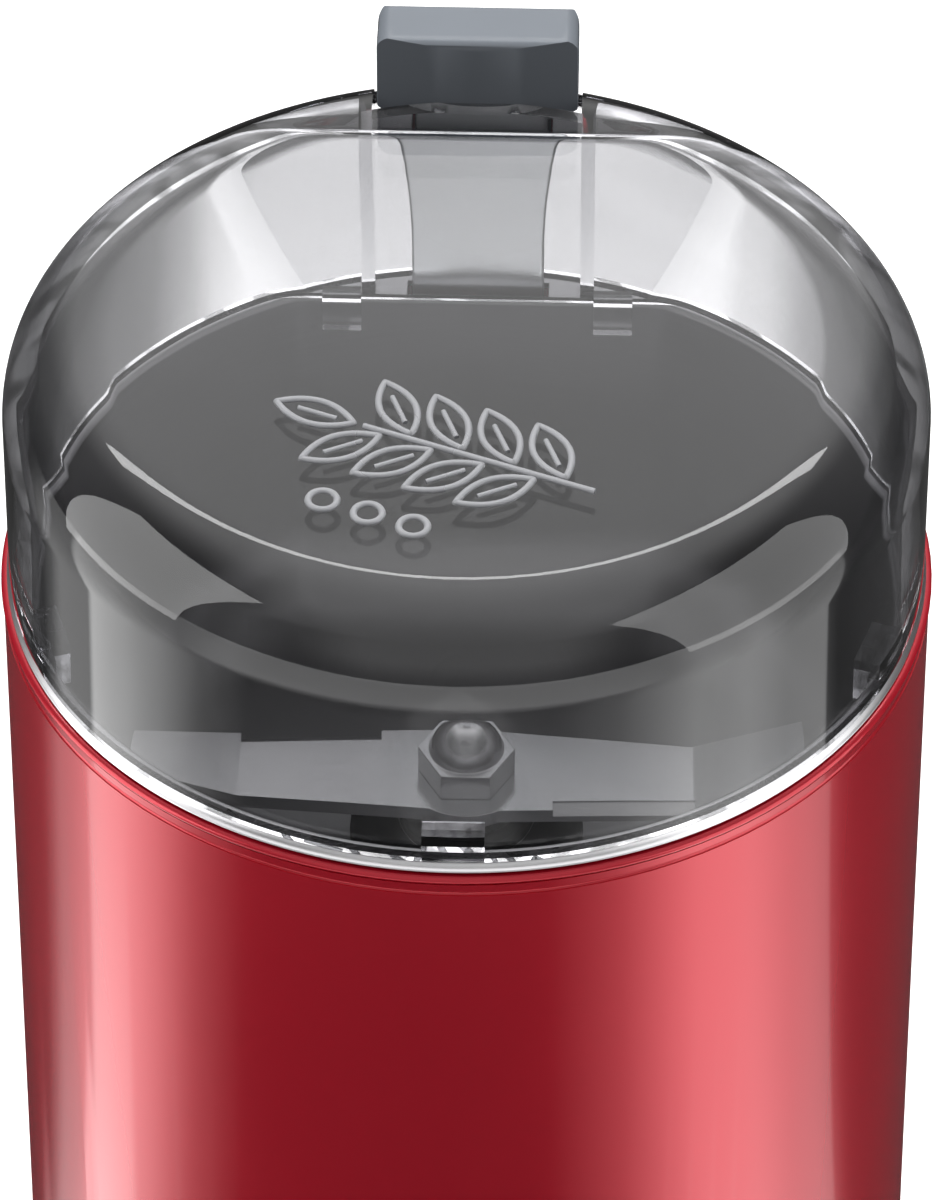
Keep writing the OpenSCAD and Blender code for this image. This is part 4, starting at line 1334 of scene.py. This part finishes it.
@dataclass
class Lid(Assembly):
    """The clear lid: a dome with a leaning back wall, and the button's pocket behind it."""

    radius: float = 45.75 * MM
    low: float = 139.5 * MM
    top: float = 168.1 * MM
    wall: float = 2.0 * MM
    shoulder: float = 9.6 * MM
    inner_shoulder: float = 9.0 * MM
    shoulder_steps: int = 28
    ceiling_turn: float = 3.0 * MM
    ceiling_steps: int = 16
    back_low: float = 38.6 * MM
    back_high: float = 34.5 * MM
    lean_top: float = 160.7 * MM
    lean_steps: int = 24
    back_wall: float = 1.5 * MM
    corner: float = 5.0 * MM
    pocket_half: float = 10.6 * MM
    rib: float = 1.4 * MM
    notch_half: float = 20.0 * MM
    notch_back: float = 42.4 * MM
    notch_low: float = 165.15 * MM
    tab_depth: float = 3.0 * MM
    tab_out: float = 42.7 * MM
    tab_thick: float = 1.2 * MM
    tab_half: float = 3.0 * MM
    tab_root: float = 2.0 * MM
    tab_clear: float = 0.05 * MM
    tab_places: tuple[int, ...] = (200, 340, 270)
    back_tab_half: float = 2.0 * MM
    back_tab_gap: float = 0.3 * MM
    back_tab_places: tuple[float, ...] = (-14 * MM, 14 * MM)
    bite: float = 0.5 * MM
    edge: float = 0.3 * MM
    edge_faces: int = 3
    # The cutting tools reach this far past the lid, and no two of them end in one plane
    past: float = 5.0 * MM
    stagger: float = 1.0 * MM
    far: float = 60.0 * MM

    def _dome(self, name: str, inset: float, low: float) -> bpy.types.Object:
        """Makes a solid dome.

        Args:
            name: The new object's name.
            inset: How far it lies inside the lid's outer face.
            low: Its lowest height.

        Returns:
            The dome.
        """
        radius, top = self.radius - inset, self.top - inset
        turn = self.inner_shoulder if inset else self.shoulder
        rings = [(Plan(radius), low)]
        rings += [(Plan(radius - turn * (1 - math.cos(a))), top - turn * (1 - math.sin(a)))
                  for a in arc_steps(self.shoulder_steps)]
        return loft(name, rings)

    def _front_form(self, name: str, grow: float = 0.0) -> bpy.types.Object:
        """Makes the form in front of the leaning wall, with rounded upright corners.

        Args:
            name: The new object's name.
            grow: How far outside the hollow its faces lie. Only the hollow itself has a ceiling.

        Returns:
            The form, as a solid.
        """
        radius, top = self.radius - self.wall, self.top - self.wall
        turn, roof = self.inner_shoulder, self.ceiling_turn
        lean = self.lean_top - self.low
        heights = [self.low - self.past, self.low]
        heights += [self.low + lean * step / self.lean_steps
                    for step in range(1, self.lean_steps + 1)]
        heights += [top - roof * (1 - math.sin(a)) for a in arc_steps(self.ceiling_steps)]
        if grow:
            heights.append(self.top + self.past)
        rings = []
        for height in heights:
            over = min(max(0.0, height - (top - turn)), turn)
            reach = radius - turn + math.sqrt(turn ** 2 - over ** 2) + grow
            rise = min(max(height - self.low, 0.0) / lean, 1.0)
            flat = self.back_low + (self.back_high - self.back_low) * rise + grow
            near = 0.0 if grow else max(0.0, height - (top - roof))
            flat -= roof - math.sqrt(max(roof ** 2 - near ** 2, 0.0))
            rings.append((Plan(reach, flat, self.corner + grow), height))
        return loft(name, rings)

    def _notch(self) -> list[bpy.types.Object]:
        """Makes the room of the button's cap, deeper in front and shallow at the back.

        Returns:
            The two boxes that cut it.
        """
        half, over, step = self.notch_half, self.top + self.past, self.stagger
        deep = block("notch", (-half, 0.0, self.lean_top), (half, self.notch_back, over - step))
        shallow = block("notch_back", (-half - step, step, self.notch_low),
                        (half + step, self.far, over))
        return [deep, shallow]

    def _rear_hollows(self) -> list[bpy.types.Object]:
        """Makes the button's pocket with its notch, and the two hollows beside it.

        Returns:
            The three solids that cut them.
        """
        spans = [(-self.pocket_half, self.pocket_half),
                 (self.pocket_half + self.rib, self.radius),
                 (-self.radius, -self.pocket_half - self.rib)]
        below, over = self.low - self.past, self.top + self.past - 2 * self.stagger
        hollows = []
        for number, (left, right) in enumerate(spans):
            dome = self._dome(f"rear_{number}", self.wall, below)
            if number == 0:
                combine(dome, "UNION", self._notch())
            side = block("side", (left, 0.0, below), (right, self.far, over))
            combine(dome, "INTERSECT", [side])
            front = self._front_form("front", self.back_wall)
            hollows.append(combine(dome, "DIFFERENCE", [front]))
        return hollows

    def _tabs(self) -> list[bpy.types.Object]:
        """Makes the tabs that reach into the bowl's mouth.

        Returns:
            Three tabs at the round wall and two at the flat one.
        """
        low, high = self.low - self.tab_depth, self.low + self.tab_root
        shelf = self.low + self.tab_clear

        def outline(out: float, foot: float) -> list[tuple[float, float]]:
            """Draws a tab and its foot in the wall.

            Args:
                out: The depth of the tab's outer face.
                foot: How deep its foot reaches.

            Returns:
                The corners as depth and height.
            """
            inner = out - self.tab_thick
            return [(inner, low), (out, low), (out, shelf), (foot, shelf), (foot, high),
                    (inner, high)]

        round_side = outline(self.tab_out, self.radius - self.wall + self.bite)
        tabs = [prism("tab", round_side, (-self.tab_half, self.tab_half),
                      math.radians(degrees - 90)) for degrees in self.tab_places]
        back = outline(self.back_low - self.back_tab_gap, self.back_low + self.bite)
        tabs += [prism("tab", back, (side - self.back_tab_half, side + self.back_tab_half))
                 for side in self.back_tab_places]
        return tabs

    def own(self) -> set[str]:
        """Builds the lid from its dome and hollows, and raises the design on it.

        Returns:
            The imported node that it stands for.
        """
        self.keep(Relief().piece(self.top), "lid_clear", finish=RELIEF_MATT)
        lid = self._dome("lid_shell", 0.0, self.low)
        combine(lid, "DIFFERENCE", [self._front_form("front_hollow"), *self._rear_hollows()])
        combine(lid, "UNION", self._tabs())
        rounded(lid, self.edge, self.edge_faces)
        self.keep(lid, "lid_clear", "lid")
        return {"lid"}


@dataclass
class Button(Assembly):
    """The push button: its cap, and the tongue that runs down inside the lid."""

    skirt_top: float = 168.0 * MM
    skirt_low: float = 164.0 * MM
    skirt_look: float = 1.8 * MM
    edge: float = 0.55 * MM

    def own(self) -> set[str]:
        """Makes the cap with a short skirt.

        Returns:
            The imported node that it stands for.
        """
        skirt = (self.skirt_top, self.skirt_low)
        self.stand_short("button_cap", "button_cap_soft", skirt, self.skirt_look, self.edge)
        return {"button_cap"}


@dataclass
class Bowl(Assembly):
    """The pressed steel bowl with its rolled rim."""

    mouth: float = 43.0 * MM
    flat: float = 38.6 * MM
    corner: float = 6.0 * MM
    top: float = 139.5 * MM
    floor: float = 101.5 * MM
    turn: float = 10.0 * MM
    turn_steps: int = 16
    sheet: float = 0.7 * MM
    lip: float = 0.6 * MM
    lip_steps: int = 6
    rim: float = 46.0 * MM
    rim_low: float = 138.3 * MM
    roll: float = 1.0 * MM
    roll_steps: int = 8
    crimp: float = 0.1 * MM
    hole: float = 7.1 * MM
    slot_half: float = 7.3 * MM
    slot_front: float = 40.2 * MM
    slot_back: float = 42.4 * MM
    slot_reach: float = 2.0 * MM
    edge: float = 0.1 * MM
    edge_angle: float = 50.0

    def _plan(self, grow: float) -> Plan:
        """Gives the mouth's outline, grown on all sides."""
        return Plan(self.mouth + grow, self.flat + grow, self.corner + grow / 2)

    def _skin(self) -> list[Ring]:
        """Follows the steel from its rim down the inside and back up the outside.

        Returns:
            The outlines with their heights.
        """
        roll_up, wide = self.top - self.rim_low - self.crimp, self.turn + self.sheet
        rings = [(Plan(self.rim - self.sheet), self.rim_low), (Plan(self.rim), self.rim_low)]
        rings += [(Plan(self.rim - self.roll * (1 - math.cos(a))),
                   self.top - roll_up * (1 - math.sin(a))) for a in arc_steps(self.roll_steps)]
        rings += [(self._plan(self.lip * (1 - math.sin(a))),
                   self.top - self.lip * (1 - math.cos(a))) for a in arc_steps(self.lip_steps)]
        rings += [(self._plan(-self.turn * (1 - math.cos(a))),
                   self.floor + self.turn * (1 - math.sin(a)))
                  for a in arc_steps(self.turn_steps)]
        rings += [(Plan(self.hole), self.floor), (Plan(self.hole), self.floor - self.sheet)]
        rings += [(self._plan(self.sheet - wide * (1 - math.cos(a))),
                   self.floor + self.turn - wide * math.sin(a))
                  for a in reversed(arc_steps(self.turn_steps))]
        rings += [(self._plan(self.sheet), self.top - self.sheet),
                  (Plan(self.rim - self.sheet), self.top - self.sheet)]
        return rings

    def own(self) -> set[str]:
        """Makes the bowl, with the push rod's slot in its flange.

        Returns:
            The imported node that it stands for.
        """
        shell = loft("bowl_shell", self._skin(), closed=True)
        slot = block("slot", (-self.slot_half, self.slot_front, self.top - self.slot_reach),
                     (self.slot_half, self.slot_back, self.top + self.slot_reach))
        combine(shell, "DIFFERENCE", [slot])
        rounded(shell, self.edge, angle=self.edge_angle)
        self.keep(shell, "steel_brushed", "bowl")
        return {"bowl"}


@dataclass
class Studio:
    """Floor, lamps, surroundings and camera.

    The floor's cards are ramps over the direction from the axis: 0 is ahead, 0.5 is straight to
    the side and 1 is behind.
    """

    lens: float = 254.58
    sensor: float = 36.0
    stand: tuple[float, float, float] = (0.01903, -0.64120, 0.69569)
    tilt: float = 48.74
    turn: float = 1.7
    aim: tuple[float, float, float] = (0.0, 0.0, 0.1)
    floor_size: float = 6.0
    lamp_power: float = 5.5
    top_share: float = 2.5
    strip_power: float = 1.1
    card_left: Stops = ((0.27, 0.02), (0.34, 0.25), (0.4, 0.7), (0.46, 1.0), (0.525, 1.1),
                        (0.535, 0.36), (0.6, 0.28), (0.625, 0.1), (0.65, 0.02))
    card_right: Stops = ((0.11, 0.02), (0.2, 0.25), (0.3, 0.82), (0.38, 0.8), (0.44, 0.5),
                         (0.515, 0.4), (0.52, 0.06), (0.54, 0.02))
    left_light: float = 2.2
    right_light: float = 2.6
    front_light: float = 1.5
    through_light: float = 1.15
    matt_light: float = 0.3
    side_dim: float = 0.15
    seam: float = 1.0 * MM

    def camera(self) -> None:
        """Sets the camera up."""
        data = bpy.data.cameras.new("camera")
        data.sensor_fit = "AUTO"
        data.sensor_width = self.sensor
        data.lens = self.lens
        eye = placed("camera", data)
        eye.location = self.stand
        eye.rotation_euler = (math.radians(self.tilt), 0.0, math.radians(self.turn))
        bpy.context.scene.camera = eye

    def _card(self, bench: Bench, angle: Flow, away: Flow, x: Flow) -> Flow:
        """Draws what gloss sees on the floor: a light card at either side and one far ahead.

        Args:
            bench: Where the floor's nodes stand.
            angle: The direction from the axis.
            away: The distance from the axis.
            x: The place across the floor.

        Returns:
            How bright the floor is.
        """
        on_right = (x / self.seam).clamped()
        left = bench.ramp(angle, *self.card_left) * (1 - on_right) * self.left_light
        right = bench.ramp(angle, *self.card_right) * on_right * self.right_light
        ahead = bench.ramp(angle, (0.28, 1.0), (0.42, 0.0))
        far = bench.ramp(away, (0.235, 0.0), (0.3, 1.0))
        return (left + right).larger(ahead * far * self.front_light)

    def floor(self) -> None:
        """Lays the pale floor, which looks different to the camera, to gloss and to the lid."""
        mesh = bpy.data.meshes.new("floor")
        half = self.floor_size / 2
        mesh.from_pydata([(-half, -half, 0), (half, -half, 0), (half, half, 0), (-half, half, 0)],
                         [], [(0, 1, 2, 3)])
        ground = placed("floor", mesh)
        material = bpy.data.materials.new("floor_white")
        material.use_nodes = True
        bench = Bench(material.node_tree)
        x, y, _ = bench.parts(bench.place())
        turn = bench.add("ShaderNodeMath", {"operation": "ARCTAN2"}, {0: x.size(), 1: y * -1.0})
        angle = Flow(bench, turn.outputs[0]) / math.pi
        away = (x * x + y * y) ** 0.5
        seen, gloss, through = bench.rays()
        mirrored = gloss * (1 - through)
        # Seen through the lid, the light floor is only as wide as the grinder. The stops are tenths
        # of a metre, and those of the pale floor further down are pairs of metres.
        narrow = bench.ramp(x.size() * 10, (0.36, 1.0), (0.5, 0.33), (0.9, 0.12))
        base = bench.blend(narrow, shade_of(WHITE, 0.02), shade_of(WHITE, 0.5))
        base = bench.blend(through, shade_of(WHITE, 0.82), base)
        base = bench.blend(1 - mirrored, shade_of(WHITE, 0.0), base)
        pale = bench.ramp(away * 0.5, (0.2, 0.42), (0.7, 1.0))
        back = bench.ramp(angle, (0.35, 0.3), (0.65, 1.0))
        glow = seen * pale + through * back * narrow * self.through_light
        glow = glow + mirrored * self._card(bench, angle, away, x)
        bench.surface(Base_Color=base, Roughness=0.9, Specular_IOR_Level=0.0,
                      Emission_Color=WHITE, Emission_Strength=glow)
        material.cycles.emission_sampling = "NONE"
        mesh.materials.append(material)

    def lamp(self, name: str, place: tuple[float, float, float], size: tuple[float, float],
             power: float, mirrored: bool = True) -> None:
        """Hangs a soft box.

        Args:
            name: The lamp's name.
            place: Where it hangs.
            size: Its width and height.
            power: Its power in watts.
            mirrored: Whether gloss shows its picture.
        """
        data = bpy.data.lights.new(name, "AREA")
        data.shape = "RECTANGLE"
        data.size, data.size_y = size
        data.energy = power
        box = placed(name, data)
        box.location = place
        away = Vector(self.aim) - Vector(place)
        box.rotation_euler = away.to_track_quat("-Z", "Y").to_euler()
        box.visible_camera = False
        box.visible_glossy = mirrored
        box.visible_transmission = False

    def lamps(self) -> None:
        """Hangs the soft boxes at both sides and above, and a narrow one behind for the edges."""
        power, top = self.lamp_power, self.lamp_power * self.top_share
        self.lamp("left_box", (-0.8, -0.12, 0.42), (0.6, 1.0), power)
        self.lamp("right_box", (0.8, -0.25, 0.42), (0.8, 1.1), power)
        self.lamp("top_box", (0.0, 0.35, 1.1), (0.9, 0.6), top, mirrored=False)
        self.lamp("strip", (0.0, 0.6, 0.95), (0.9, 0.07), self.strip_power)

    def surroundings(self) -> None:
        """Makes the room: white behind, darker at the camera's side, dim for matt surfaces."""
        world = bpy.data.worlds.new("room")
        world.use_nodes = True
        bench = Bench(world.node_tree)
        x, y, z = bench.parts(bench.add("ShaderNodeTexCoord").outputs["Generated"])
        depth = y * 0.5 + 0.5
        behind = bench.ramp(depth, (0.0, 0.6), (0.45, 0.7), (0.75, 1.0))
        dim = bench.ramp(depth, (0.0, 0.12), (0.45, 0.35), (0.75, 1.0))
        tent = bench.ramp(depth, (0.0, 0.22), (0.5, 0.38), (0.72, 1.0))
        above = bench.ramp(z, (0.0, 0.2), (0.35, 1.0), (1.0, 0.9))
        flags = bench.ramp(x.size(), (0.35, 1.0), (0.6, 0.2), (0.9, 0.08))
        seen, gloss, through = bench.rays()
        sides = flags * (1 - self.side_dim) + self.side_dim
        clear = through * tent * sides * self.through_light
        mirror = gloss * (1 - through) * behind * above * flags
        matt = (1 - gloss) * (1 - through) * (1 - seen) * (dim * self.matt_light)
        light = bench.add("ShaderNodeBackground", inputs={
            0: WHITE, 1: seen + clear + mirror + matt})
        bench.add("ShaderNodeOutputWorld", inputs={0: light.outputs[0]})
        bpy.context.scene.world = world

    def set_up(self) -> None:
        """Sets up everything that isn't the grinder."""
        self.camera()
        self.floor()
        self.lamps()
        self.surroundings()
        bpy.context.scene.view_settings.view_transform = "Standard"


def build_grinder() -> list[Assembly]:
    """Lists the grinder's assemblies and the edges that each rounds.

    Returns:
        The assemblies in the order in which they are dressed.
    """
    return [
        Housing("root", ("housing", "base_cover", "base_screws", "feet", "cord_gland",
                         "cord_clamp", "clamp_screws"),
                {"base_cover": 0.3 * MM, "cord_gland": 0.4 * MM, "base_screws": 0.15 * MM}),
        Bowl("root", ("bowl", "bowl_gasket", "collar_nut", "shaft_seal"),
             {"collar_nut": 0.25 * MM}),
        Motor("root", ("support_plate", "support_screws", "isolating_ring", "upper_bracket",
                       "upper_bearing", "stator_core", "field_coil_front", "field_coil_rear",
                       "lower_bracket", "lower_bearing", "motor_bolts", "brush_holders",
                       "carbon_brushes", "brush_springs", "brush_caps", "thermal_fuse")),
        Assembly("root", ("capacitor", "terminal_block", "terminal_screws")),
        Interlock("root", ("switch_bracket", "switch_body", "switch_terminals", "return_spring")),
        Rotor("rotor", ("motor_shaft", "armature_core", "armature_winding", "commutator",
                        "cooling_fan", "thrust_washers", "drive_hub", "blade", "blade_nut"),
              {"blade": 0.12 * MM, "blade_nut": 0.2 * MM, "drive_hub": 0.15 * MM}),
        Assembly("push_rod", ("push_rod",)),
        Assembly("switch_plunger", ("switch_plunger",)),
        Lid("lid", ("lid",)),
        Button("button", ("button_cap", "button_stem"), {"button_stem": 0.35 * MM}),
    ]


def main() -> None:
    """Builds the studio and dresses the grinder."""
    logging.basicConfig(level=logging.INFO, format="%(message)s")
    Studio().set_up()
    assemblies = build_grinder()
    for assembly in assemblies:
        assembly.dress()
    bare = set(frame["nodes"]) - {node for assembly in assemblies for node in assembly.nodes}
    if bare:
        raise RuntimeError(f"no assembly dresses {sorted(bare)}")


if __name__ == "__main__":
    main()
